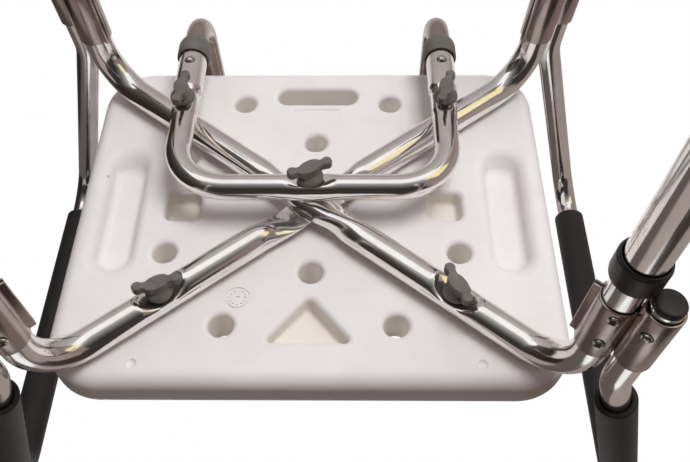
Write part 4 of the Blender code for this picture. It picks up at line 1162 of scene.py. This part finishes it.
@dataclass
class Leg:
    """One corner: connector, sliding leg, ferrule, rubber foot, snap clip and rivets."""

    side: Side
    end: End
    outer_radius: float = 0.0147
    outer_run: tuple[float, float] = (0.1365, 0.321)
    ferrule_top: float = 0.131
    ferrule_length: float = 0.022
    ferrule_radius: float = 0.0176
    foot_top: float = 0.294
    foot_radius: float = 0.021
    foot_rings: int = 3
    foot_ring_pitch: float = 0.0036
    groove: tuple[float, float, float] = (0.009, 0.011, 0.0016)
    hole_pitch: float = 0.025
    hole_count: int = 5
    rivet_head: float = 0.0042
    rivet_shank: float = 0.0021
    connector_run: tuple[float, float] = (0.052, 0.107)
    socket_run: tuple[float, float] = (0.062, 0.121)
    connector_wall: float = 0.0015
    connector_edge: float = 0.0006
    arm_room: float = 0.0007
    drill: tuple[float, float] = (0.008, 0.022)
    fin_reach: float = 0.0185
    fin_thick: float = 0.0056
    fin_slit: float = 0.0016
    web: tuple[float, float] = (0.010, 0.008)
    sole_past: float = 0.006

    @property
    def mirror(self) -> int:
        """Sign that mirrors a corner in its own frame."""
        return self.side.value * self.end.value

    def dress(self, node: str, mesh: Mesh, body: str, finish: Finish, edge: float = 0.0) -> None:
        """Put a mesh from the leg's frame in its place and dress a node with it."""
        mesh.transform(leg_matrix(self.side, self.end))
        place = place_name(self.end, self.side)
        add_piece(f"{node}_{place}", mesh, body if body == "frame" else f"{body}_{place}", finish, edge)

    def rivet_runs(self) -> list[tuple[Vector, Vector, float]]:
        """Rods that drill the two rivet holes on the leg's front or rear face."""
        face = inward_face(self.mirror, RIVET_TURN)
        near, far = self.drill
        feet = [down(along) for along in RIVETS]
        return [(foot + face * near, foot + face * far, RIVET_HOLE) for foot in feet]

    def connector(self) -> Mesh:
        """Fold the double sleeve that joins the leg to the arm."""
        top, low = (down(along) for along in self.connector_run)
        way = diagonal_way(self.mirror)
        socket = way * SOCKET_OFFSET
        outer = FRAME_RADIUS + GAP + self.connector_wall
        bore = ARM_RADIUS + self.arm_room
        barrel = bore + self.connector_wall
        sleeve = rods([(low, top, outer)], SLEEVE_SIDES, self.connector_edge)
        high, deep = (down(along) for along in self.socket_run)
        barrel_solid = rods([(deep + socket, high + socket, barrel)], WIDE_SIDES, self.connector_edge)
        turn = Matrix.Rotation(math.atan2(way.y, way.x), 4, 'Z')
        middle = -sum(self.connector_run) / 2
        length = self.connector_run[1] - self.connector_run[0]
        reach = self.fin_reach - FRAME_RADIUS
        fin = block(Vector((reach, self.fin_thick, length - 0.001)),
                    turn @ Matrix.Translation((-(FRAME_RADIUS + reach / 2 + 0.0008), 0.0, middle)), 0.0007)
        web = block(Vector((*self.web, low.z - high.z)),
                    turn @ Matrix.Translation((outer - 0.001, 0.0, (low.z + high.z) / 2)))
        slit = block(Vector((self.fin_reach, self.fin_slit, 0.1)),
                     turn @ Matrix.Translation((-(FRAME_RADIUS - 0.003 + self.fin_reach / 2), 0.0, middle)))
        past = Vector((0.0, 0.0, 0.005))
        bores = rods([(deep - past, top + past, FRAME_RADIUS + 2 * GAP),
                      (deep + socket - past, top + socket + past, bore)], SLEEVE_SIDES)
        cuts = [slit, bores, rods(self.rivet_runs(), STUD_SIDES)]
        if self.end is End.FRONT:
            hole = socket - Vector((0.0, 0.0, ARM_BUTTON_ALONG))
            face = inward_face(self.mirror, ARM_BUTTON_TURN)
            cuts.append(rods([(hole, hole + face * self.drill[1], BUTTON_HOLE)], BUTTON_SIDES))
        return carve(sleeve, joins=[barrel_solid, web, fin], cuts=cuts)

    def build(self) -> None:
        """Build the corner's pieces and dress their nodes."""
        self.dress("arm_connector", self.connector(), "frame", SATIN_ALUMINIUM)
        button = down(LEG_BUTTON_ALONG)
        ends = [down(along) for along in self.outer_run]
        starts = [button + Vector((0.0, 0.0, step * self.hole_pitch)) for step in range(self.hole_count)]
        out = Vector((HOLE_REACH, 0.0, 0.0))
        holes = rods([(start, start + out, BUTTON_HOLE) for start in starts], BUTTON_SIDES)
        outer = carve(Tube(ends, [], self.outer_radius, WIDE_SIDES).skin(), TUBE_WALL, cuts=[holes])
        self.dress("outer_leg", outer, "leg", POLISHED_ALUMINIUM)
        self.build_trim()
        clip = SnapClip().mesh(self.outer_radius + BUTTON_PROUD)
        clip.transform(Matrix.Translation(button))
        self.dress("leg_clip", clip, "leg_button", BRIGHT_STEEL)

    def build_trim(self) -> None:
        """Build the ferrule, the rubber foot and the two rivets."""
        top, low = -self.ferrule_top, -self.ferrule_top - self.ferrule_length
        lip, bore = FRAME_RADIUS + 0.0005, self.outer_radius + 2 * GAP
        step_down = -self.outer_run[0] + GAP
        wide = self.ferrule_radius
        ferrule = lathe([(lip, top), (wide - 0.0022, top), (wide - 0.0006, top - 0.0012),
                         (wide, top - 0.004), (wide, low + 0.003), (wide - 0.0007, low + 0.0026),
                         (wide - 0.0007, low + 0.0010), (wide - 0.0012, low), (bore, low),
                         (bore, step_down), (lip, step_down)], True, WIDE_SIDES)
        self.dress("leg_ferrule", mesh_of(ferrule), "leg", BLACK_POLYPROPYLENE, 0.0004)
        self.dress("rubber_foot", self.foot(), "leg", GREY_RUBBER)
        head = FRAME_RADIUS + GAP + self.connector_wall + GAP
        size, shank, deep = self.rivet_head, self.rivet_shank, FRAME_RADIUS - 0.003
        for name, along in zip(("upper", "lower"), RIVETS):
            rivet = lathe([(0.0, head - 0.0022), (0.0015, head - 0.0022), (0.0017, head + 0.0001),
                           (size * 0.70, head + 0.0012), (size * 0.82, head + 0.0013),
                           (size * 0.96, head + 0.0006), (size, head), (shank, head), (shank, deep),
                           (0.0, deep)], steps=HEAD_STEPS)
            turn = Matrix.Rotation(RIVET_TURN * self.mirror, 4, 'Z')
            turn = turn @ Matrix.Rotation(-QUARTER_TURN * self.mirror, 4, 'X')
            mesh = mesh_of(rivet)
            mesh.transform(Matrix.Translation((0.0, 0.0, -along)) @ turn)
            self.dress("rivet_" + name, mesh, "frame", BRIGHT_STEEL)

    def foot(self) -> Mesh:
        """Mould the rubber foot, with rings up its side and grooves in its level sole."""
        top, wide = -self.foot_top, self.foot_radius
        sole = -(UNDERSIDE - FRAME_DROP) - self.sole_past
        bore = self.outer_radius + 2 * GAP
        slim = wide - 0.003
        rings = []
        for step in range(self.foot_rings):
            height = top - 0.004 - step * self.foot_ring_pitch
            rings += [(slim, height), (slim - 0.0007, height - 0.0006), (slim - 0.0007, height - 0.0016),
                      (slim, height - 0.0022)]
        inside = -self.outer_run[1] - GAP
        foot = lathe([(bore, top), (slim - 0.001, top), (slim, top - 0.0012), *rings,
                      (wide - 0.0008, top - 0.021), (wide, top - 0.024), (wide, sole), (0.0, sole),
                      (0.0, inside), (bore, inside)], steps=WIDE_SIDES)
        bmesh.ops.remove_doubles(foot, verts=foot.verts, dist=MERGE)
        loose = [edge for edge in foot.edges if len(edge.link_faces) == 1]
        bmesh.ops.bridge_loops(foot, edges=loose)
        bmesh.ops.recalc_face_normals(foot, faces=foot.faces)
        frame = leg_matrix(self.side, self.end)
        under = frame @ Vector((0.0, 0.0, sole))
        thick = 0.05
        floor = block(Vector((0.1, 0.1, thick)), Matrix.Translation((under.x, under.y, -thick / 2)))
        bmesh.ops.transform(floor, matrix=frame.inverted(), verts=floor.verts)
        inner, outer, deep = self.groove
        groove = lathe([(inner, -TOOL_PAST), (outer, -TOOL_PAST), (outer, deep), (inner, deep)], True)
        centre = leg_point(self.side, self.end, (UNDERSIDE - FRAME_DROP) / frame[2][2])
        bmesh.ops.translate(groove, verts=groove.verts, vec=centre)
        bmesh.ops.transform(groove, matrix=frame.inverted(), verts=groove.verts)
        return carve(foot, cuts=[floor, groove])


@dataclass
class Arm:
    """Lift-off arm: bent tube, foam grip, end plugs and snap clip."""

    side: Side
    out: float = 0.286
    front_y: float = -0.167
    rear_y: float = 0.192
    rise: float = 0.200
    bend: float = 0.038
    knee_along: float = 0.026
    knee_bend: float = 0.060
    insert: float = 0.1255
    plug_flange: float = 0.004
    plug_spigot: tuple[float, float] = (0.0096, 0.009)
    grip_radius: float = 0.0160
    grip_rear_y: float = 0.150
    grip_end_rise: float = -0.004
    grip_room: float = 0.0004
    grip_edge: float = 0.0019
    grip_pitch: float = 0.006

    def build(self) -> None:
        """Build the arm's pieces and dress their nodes."""
        side, sign, word = self.side, self.side.value, self.side.name.lower()
        line = {}
        for end in End:
            socket = diagonal_way(sign * end.value) * SOCKET_OFFSET
            line[end] = [leg_point(side, end, along, socket.x, socket.y)
                         for along in (self.insert, self.knee_along)]
        top_front = plan(sign * self.out, self.front_y, -self.rise)
        top_rear = plan(sign * self.out, self.rear_y, -self.rise)
        corners = [*line[End.FRONT], top_front, top_rear, *line[End.REAR][::-1]]
        bends = [self.knee_bend, self.bend, self.bend, self.knee_bend]
        socket = diagonal_way(-sign) * SOCKET_OFFSET
        frame = leg_matrix(side, End.FRONT) @ Matrix.Translation((socket.x, socket.y, -ARM_BUTTON_ALONG))
        outward = frame.to_3x3() @ inward_face(-sign, ARM_BUTTON_TURN)
        spot = frame.translation
        hole = rods([(spot, spot + outward * HOLE_REACH, BUTTON_HOLE)], BUTTON_SIDES)
        tube = carve(Tube(corners, bends, ARM_RADIUS, TUBE_SIDES).skin(), TUBE_WALL, cuts=[hole])
        add_piece("arm_tube_" + word, tube, "arm_" + word, POLISHED_ALUMINIUM)

        socket_wall = Leg.arm_room + Leg.connector_wall
        clip = SnapClip().mesh(ARM_RADIUS + socket_wall + BUTTON_PROUD)
        turn = Matrix.Rotation(-sign * (ARM_BUTTON_TURN + QUARTER_TURN), 4, 'Z')
        clip.transform(frame @ turn @ Matrix.Rotation(math.pi, 4, 'X'))
        add_piece("arm_clip_" + word, clip, "arm_button_" + word, BRIGHT_STEEL)
        self.build_plugs()

        share = (self.rise - self.grip_end_rise) / (self.rise + UNDERSIDE - line[End.FRONT][1].z)
        grip_end = top_front + (line[End.FRONT][1] - top_front) * share
        grip_start = plan(sign * self.out, self.grip_rear_y, -self.rise)
        skin = Tube([grip_start, top_front, grip_end], [self.bend], self.grip_radius, TUBE_SIDES,
                    self.grip_pitch).skin()
        grip = add_piece("arm_grip_" + word, carve(skin, self.grip_radius - ARM_RADIUS - self.grip_room),
                         "arm_" + word, BLACK_FOAM, self.grip_edge)

    def build_plugs(self) -> None:
        """Build the plugs in the arm's two lower ends."""
        top = -self.insert - GAP
        low = top - self.plug_flange
        spigot, length = self.plug_spigot
        wide, tip = ARM_RADIUS - GAP, top + length
        for end in End:
            socket = diagonal_way(self.side.value * end.value) * SOCKET_OFFSET
            plug = mesh_of(lathe([(0.0, tip), (spigot - 0.001, tip), (spigot, tip - 0.001), (spigot, top),
                                  (wide, top), (wide, low + 0.0016), (wide - 0.0005, low + 0.0006),
                                  (wide - 0.0018, low), (0.0, low)]))
            plug.transform(leg_matrix(self.side, end) @ Matrix.Translation(socket))
            add_piece("arm_plug_" + place_name(end, self.side), plug, "arm_" + self.side.name.lower(),
                      BLACK_POLYPROPYLENE)


@dataclass
class Backrest:
    """Backrest tube with its collars and clips, and the bowed back panel with its screws."""

    radius: float = 0.0110
    insert_y: float = 0.1135
    post_y: float = 0.220
    bend: float = 0.038
    lean: float = math.radians(8)
    length: float = 0.400
    top_bend: float = 0.050
    collar_radius: float = 0.0155
    collar_length: float = 0.022
    collar_cup: float = 0.010
    panel: Vector = Vector((0.390, 0.165, 0.022))
    panel_corner: float = 0.040
    panel_edge: float = 0.009
    panel_middle: float = 0.288
    panel_bow: float = 0.66
    slot: tuple[float, float] = (0.110, 0.024)
    slot_rise: float = 0.042
    slot_round: float = 0.49
    slot_lip: float = 0.004
    slot_room: float = 0.001
    bow_pitch: float = 0.008
    bow_cuts: int = 23
    screw_head: float = 0.0048
    screw_radius: float = 0.0021
    screw_hole: float = 0.0026
    screw_bite: float = 0.011

    def leaning(self) -> Matrix:
        """Frame of the posts: origin at their foot, Z up along them."""
        foot = plan(0.0, self.post_y, BRACKET_DROP)
        return Matrix.Translation(foot) @ Matrix.Rotation(-self.lean, 4, 'X')

    def build(self) -> None:
        """Build the backrest's pieces and dress their nodes."""
        self.build_tube()
        self.build_panel()
        for side in Side:
            self.build_fittings(side)

    def build_tube(self) -> None:
        """Bend the backrest tube and drill it."""
        leaning = self.leaning()
        corners = []
        for side in Side:
            out = Vector((side.value * BOLT_X, 0.0, 0.0))
            half = [plan(out.x, self.insert_y, BRACKET_DROP), leaning @ out,
                    leaning @ (out + Vector((0.0, 0.0, self.length)))]
            corners += half if side is Side.LEFT else half[::-1]
        bends = [self.bend, self.top_bend, self.top_bend, self.bend]
        screws, buttons = [], []
        for side in Side:
            ends = [leaning @ Vector((side.value * BOLT_X, y, self.panel_middle))
                    for y in (-STUD_REACH, STUD_REACH)]
            screws.append((*ends, self.screw_hole))
            buttons.append(back_button_hole(side))
        mesh = carve(Tube(corners, bends, self.radius, TUBE_SIDES).skin(), TUBE_WALL,
                     cuts=[rods(screws, 20), rods(buttons, BUTTON_SIDES)])
        add_piece("backrest_tube", mesh, "backrest", SATIN_ALUMINIUM)

    def build_panel(self) -> None:
        """Mould the bowed back panel with its hand slot."""
        blank = slab(self.panel, self.panel_corner, self.panel_edge)
        tool = slab(Vector((*self.slot, 0.1)), self.slot[1] * self.slot_round, 0.0)
        bmesh.ops.translate(tool, verts=tool.verts, vec=(0.0, self.slot_rise, 0.0))
        bm = bmesh.new()
        bm.from_mesh(carve(blank, cuts=[tool]))
        lips = []
        for edge in bm.edges:
            middle = (edge.verts[0].co + edge.verts[1].co) / 2
            inside = abs(middle.x) < self.slot[0] / 2 + self.slot_room
            inside = inside and abs(middle.y - self.slot_rise) < self.slot[1] / 2 + self.slot_room
            if inside and len(edge.link_faces) == 2 and edge.calc_face_angle() > SHARP_ANGLE:
                lips.append(edge)
        round_edges(bm, lips, self.slot_lip, 4)
        for step in range(-self.bow_cuts, self.bow_cuts + 1):
            geometry = bm.verts[:] + bm.edges[:] + bm.faces[:]
            bmesh.ops.bisect_plane(bm, geom=geometry, plane_co=(step * self.bow_pitch, 0.0, 0.0),
                                   plane_no=(1.0, 0.0, 0.0))
        bmesh.ops.rotate(bm, verts=bm.verts, matrix=Matrix.Rotation(QUARTER_TURN, 3, 'X'))
        middle = -self.radius - GAP - self.panel.z / 2 + self.panel_bow * BOLT_X ** 2
        for vertex in bm.verts:
            vertex.co.y += middle - self.panel_bow * vertex.co.x ** 2
        bmesh.ops.translate(bm, verts=bm.verts, vec=(0.0, 0.0, self.panel_middle))
        bmesh.ops.transform(bm, matrix=self.leaning(), verts=bm.verts)
        even_shading(add_piece("back_panel", mesh_of(bm), "backrest", WHITE_POLYETHYLENE))

    def build_fittings(self, side: Side) -> None:
        """Build one side's collar, snap clip and panel screw.

        Args:
            side: Side of the chair.
        """
        word, x = side.name.lower(), side.value * BOLT_X
        bore, wide = self.radius + 0.0005, self.collar_radius
        cup, cup_depth = MOUTH_RADIUS + 0.0004, self.collar_cup
        length = self.collar_length
        collar = lathe([(bore, length), (wide - 0.0035, length), (wide - 0.0012, length - 0.002),
                        (wide, length - 0.006), (wide, 0.0015), (wide - 0.0006, 0.0), (cup, 0.0),
                        (cup, cup_depth), (bore, cup_depth)], True, WIDE_SIDES)
        mesh = mesh_of(collar)
        start = plan(x, MOUTH_END - cup_depth + GAP, BRACKET_DROP)
        mesh.transform(Matrix.Translation(start) @ Matrix.Rotation(-QUARTER_TURN, 4, 'X'))
        add_piece("back_collar_" + word, mesh, "frame", GREY_NYLON, 0.0004)

        clip = SnapClip().mesh(MOUTH_RADIUS + BUTTON_PROUD)
        axes = Matrix(((0, 0, -1), (1, 0, 0), (0, -1, 0))).transposed().to_4x4()
        clip.transform(Matrix.Translation(plan(x, BACK_BUTTON_Y, BRACKET_DROP)) @ axes)
        add_piece("back_clip_" + word, clip, "back_button_" + word, BRIGHT_STEEL)

        head, size = self.radius + GAP, self.screw_head
        tip, shank = -self.radius - GAP - self.screw_bite, self.screw_radius
        screw = lathe([(0.0, head + 0.0012), (size * 0.32, head + 0.0012), (size * 0.36, head + 0.0027),
                       (size * 0.7, head + 0.0022), (size, head + 0.0006), (size, head), (shank, head),
                       (shank, tip + 0.002), (0.0, tip)], steps=HEAD_STEPS)
        mesh = mesh_of(screw)
        turn = Matrix.Translation((x, 0.0, self.panel_middle)) @ Matrix.Rotation(-QUARTER_TURN, 4, 'X')
        mesh.transform(self.leaning() @ turn)
        add_piece("panel_screw_" + word, mesh, "backrest", BRIGHT_STEEL)


@dataclass
class Studio:
    """Camera, pale floor, soft lamps and the cards that polished metal reflects."""

    eye: Vector = Vector((-0.0391, -0.4906, -0.2319))
    eye_turn: tuple[float, float, float] = (-143.4991, -0.6636, 179.4519)
    lens: float = 43.304
    sensor: float = 36.0
    near: float = 0.01
    target: Vector = Vector((0.0, -0.03, 0.34))
    floor_size: float = 8.0
    floor_drop: float = 0.0004
    floor_roughness: tuple[float, float] = (0.6, 0.8)
    floor_colour: str = "#f1efed"
    floor_glow: float = 0.45
    sweep: tuple[float, float] = (0.5, 2.6)
    shade_colour: str = "#fdfdff"
    front_colour: str = "#d6a187"
    fill_way: tuple[float, float, float] = (-0.2, 0.75, -0.6)
    fill_levels: tuple[float, float] = (0.08, 0.55)
    card_fade: float = 2.4
    lamps: Sequence[tuple[str, tuple[float, float, float], float, float]] = (
        ("key_softbox", (-0.65, 0.05, -1.75), 1.0, 33.0),
        ("top_softbox", (0.2, -0.05, 1.7), 0.9, 19.0),
    )
    cards: Sequence[tuple[str, tuple[float, float, float], float, float, str, str]] = (
        ("camera_card", (0.0, -1.23, -1.29), 5.0, 2.4, "#2a2a2a", "#c4c3c2"),
        ("front_low_card", (0.0, -2.40, 0.05), 5.8, 1.5, "#363331", "#363331"),
        ("front_left_card", (1.60, -2.30, 1.70), 3.5, 2.6, "#a39894", "#a39894"),
        ("front_right_card", (-1.60, -2.30, 1.70), 3.5, 2.6, "#3b3431", "#3b3431"),
        ("left_card", (2.70, 0.20, 0.80), 5.8, 3.4, "#2b2624", "#2b2624"),
        ("low_left_card", (1.95, -0.05, -0.95), 4.6, 1.7, "#35312f", "#6a6461"),
        ("right_card", (-2.70, 0.20, 0.80), 5.8, 3.4, "#988b87", "#988b87"),
        ("low_right_card", (-1.95, -0.05, -0.95), 4.6, 1.7, "#877b77", "#a09591"),
        ("rear_card", (0.0, 2.70, 1.00), 6.0, 3.2, "#e0dcda", "#7d7673"),
        ("low_rear_card", (0.0, 1.65, -1.05), 5.0, 2.0, "#a59d9b", "#cbc4c2"),
        ("ceiling_left_card", (1.45, 0.0, 2.70), 4.0, 7.0, "#5f5754", "#5f5754"),
        ("ceiling_right_card", (-1.45, 0.0, 2.70), 4.0, 7.0, "#9a8f8b", "#9a8f8b"),
        ("warm_card", (-1.50, -0.08, -1.02), 0.9, 1.1, "#fff0bd", "#fff0bd"),
    )

    def build(self) -> None:
        """Set up the camera, the floor, the lamps, the cards and the world."""
        bpy.context.scene.view_settings.view_transform = 'Standard'
        self.add_camera()
        self.add_floor()
        for name, place, size, power in self.lamps:
            self.add_lamp(name, Vector(place), size, power)
        for name, place, width, height, colour, low_colour in self.cards:
            self.add_card(name, Vector(place), width, height, colour, low_colour)
        self.add_world()

    def add_camera(self) -> None:
        """Place the camera where the photograph was taken from."""
        data = bpy.data.cameras.new("camera")
        data.sensor_fit, data.sensor_width, data.lens = 'HORIZONTAL', self.sensor, self.lens
        data.clip_start = self.near
        camera = bpy.data.objects.new("camera", data)
        camera.location = self.eye
        camera.rotation_euler = [math.radians(turn) for turn in self.eye_turn]
        bpy.context.scene.collection.objects.link(camera)
        bpy.context.scene.camera = camera

    def stage_plane(self, name: str, width: float, height: float, place: Matrix,
                    material: Material) -> Object:
        """Add a flat stage piece.

        Args:
            name: Its name.
            width: Its width.
            height: Its height.
            place: Matrix of its place, facing +Z before it.
            material: Its material.

        Returns:
            The stage object.
        """
        bm = bmesh.new()
        bmesh.ops.create_grid(bm, x_segments=1, y_segments=1, size=0.5)
        bmesh.ops.scale(bm, verts=bm.verts, vec=(width, height, 1.0))
        bmesh.ops.transform(bm, matrix=place, verts=bm.verts)
        plane = bpy.data.objects.new(name, mesh_of(bm))
        plane.data.materials.append(material)
        bpy.context.scene.collection.objects.link(plane)
        return plane

    def add_floor(self) -> None:
        """Lay the pale floor under the feet, which the camera below it sees through."""
        material = new_material("pale_floor")
        tree = material.node_tree
        place = add_node(tree, "TexCoord").outputs["Object"]
        mottle = add_node(tree, "TexNoise", {"Vector": place, "Scale": 3.0})
        rough = map_range(tree, mottle.outputs["Fac"], wanted=self.floor_roughness)
        paper = add_node(tree, "BsdfPrincipled", {
            "Base Color": linear(self.floor_colour), "Roughness": rough})
        away = add_node(tree, "VectorMath", {0: place}, operation='LENGTH')
        share = map_range(tree, away.outputs["Value"], self.sweep, (self.floor_glow, 1.0), 'SMOOTHSTEP')
        rays = add_node(tree, "LightPath")
        share = reckon(tree, 'MULTIPLY', share, rays.outputs["Is Camera Ray"])
        glow = add_node(tree, "Emission", {"Color": WHITE, "Strength": 1.0})
        sweep = add_node(tree, "MixShader", {
            "Fac": share, 1: paper.outputs["BSDF"], 2: glow.outputs["Emission"]})
        clear = add_node(tree, "BsdfTransparent")
        back = add_node(tree, "NewGeometry").outputs["Backfacing"]
        mixed = add_node(tree, "MixShader", {
            "Fac": back, 1: sweep.outputs["Shader"], 2: clear.outputs["BSDF"]})
        add_node(tree, "OutputMaterial", {"Surface": mixed.outputs["Shader"]})
        floor = self.stage_plane("floor", self.floor_size, self.floor_size,
                                 Matrix.Translation(down(self.floor_drop)), material)
        floor.visible_diffuse = floor.visible_glossy = floor.visible_shadow = False
        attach(floor, "leg_front_left")

    def add_lamp(self, name: str, place: Vector, size: float, power: float) -> None:
        """Hang a soft square lamp that faces the chair.

        Args:
            name: Its name.
            place: Its place.
            size: Its side.
            power: Its power in watts.
        """
        data = bpy.data.lights.new(name, 'AREA')
        data.size, data.energy = size, power
        data.color = linear(self.shade_colour)[:3]
        lamp = bpy.data.objects.new(name, data)
        lamp.location = place
        lamp.rotation_euler = (self.target - place).to_track_quat('-Z', 'Y').to_euler()
        lamp.visible_camera = lamp.visible_glossy = False
        bpy.context.scene.collection.objects.link(lamp)

    def add_card(self, name: str, place: Vector, width: float, height: float, colour: str,
                 low_colour: str) -> None:
        """Stand a card that only shows in reflections.

        Args:
            name: Its name.
            place: Its middle.
            width: Its width.
            height: Its height.
            colour: Its colour at the top.
            low_colour: Its colour at the lower edge, which dies away quickly up the card.
        """
        turn = (self.target - place).to_track_quat('Z', 'Y').to_matrix().to_4x4()
        material = new_material(name)
        tree = material.node_tree
        up = turn.col[1].xyz
        rise = add_node(tree, "VectorMath", {
            0: add_node(tree, "TexCoord").outputs["Object"], 1: up},
            operation='DOT_PRODUCT')
        ends = (place.dot(up) + height / 2, place.dot(up) - height / 2)
        low = reckon(tree, 'POWER', map_range(tree, rise.outputs["Value"], ends), self.card_fade)
        shade = mix_colours(tree, low, linear(colour), linear(low_colour))
        glow = add_node(tree, "Emission", {"Color": shade, "Strength": 1.0})
        add_node(tree, "OutputMaterial", {"Surface": glow.outputs["Emission"]})
        card = self.stage_plane(name, width, height, Matrix.Translation(place) @ turn, material)
        card.visible_camera = card.visible_diffuse = card.visible_shadow = False
        card.visible_transmission = False

    def add_world(self) -> None:
        """Fill the world with soft light, and show white to the camera and to reflections."""
        world = bpy.data.worlds.new("studio")
        bpy.context.scene.world = world
        world.use_nodes = True
        tree = world.node_tree
        tree.nodes.clear()
        way = add_node(tree, "TexCoord").outputs["Generated"]
        facing = add_node(tree, "VectorMath", {
            0: way, 1: Vector(self.fill_way)}, operation='DOT_PRODUCT').outputs["Value"]
        share = map_range(tree, facing, (-1.0, 1.0))
        level = map_range(tree, share, wanted=self.fill_levels, curve='SMOOTHSTEP')
        tint = mix_colours(tree, share, linear(self.front_colour), linear(self.shade_colour))
        rays = add_node(tree, "LightPath")
        seen = reckon(tree, 'ADD', rays.outputs["Is Camera Ray"], rays.outputs["Is Glossy Ray"])
        seen = reckon(tree, 'ADD', seen, rays.outputs["Is Transmission Ray"], use_clamp=True)
        fill = add_node(tree, "Background", {"Color": tint, "Strength": level})
        white = add_node(tree, "Background", {"Color": WHITE, "Strength": 1.0})
        mixed = add_node(tree, "MixShader", {
            "Fac": seen, 1: fill.outputs["Background"], 2: white.outputs["Background"]})
        add_node(tree, "OutputWorld", {"Surface": mixed.outputs["Shader"]})


def main() -> None:
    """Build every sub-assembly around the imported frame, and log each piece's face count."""
    logging.basicConfig(level=logging.INFO, format="%(message)s")
    for item in list(bpy.data.objects):
        bpy.data.objects.remove(item)
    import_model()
    Studio().build()
    Seat().build()
    CrossFrame().build()
    Bracket().build()
    Knobs().build()
    for end in End:
        for side in Side:
            Leg(side, end).build()
    for side in Side:
        Arm(side).build()
    Backrest().build()


if __name__ == "__main__":
    main()
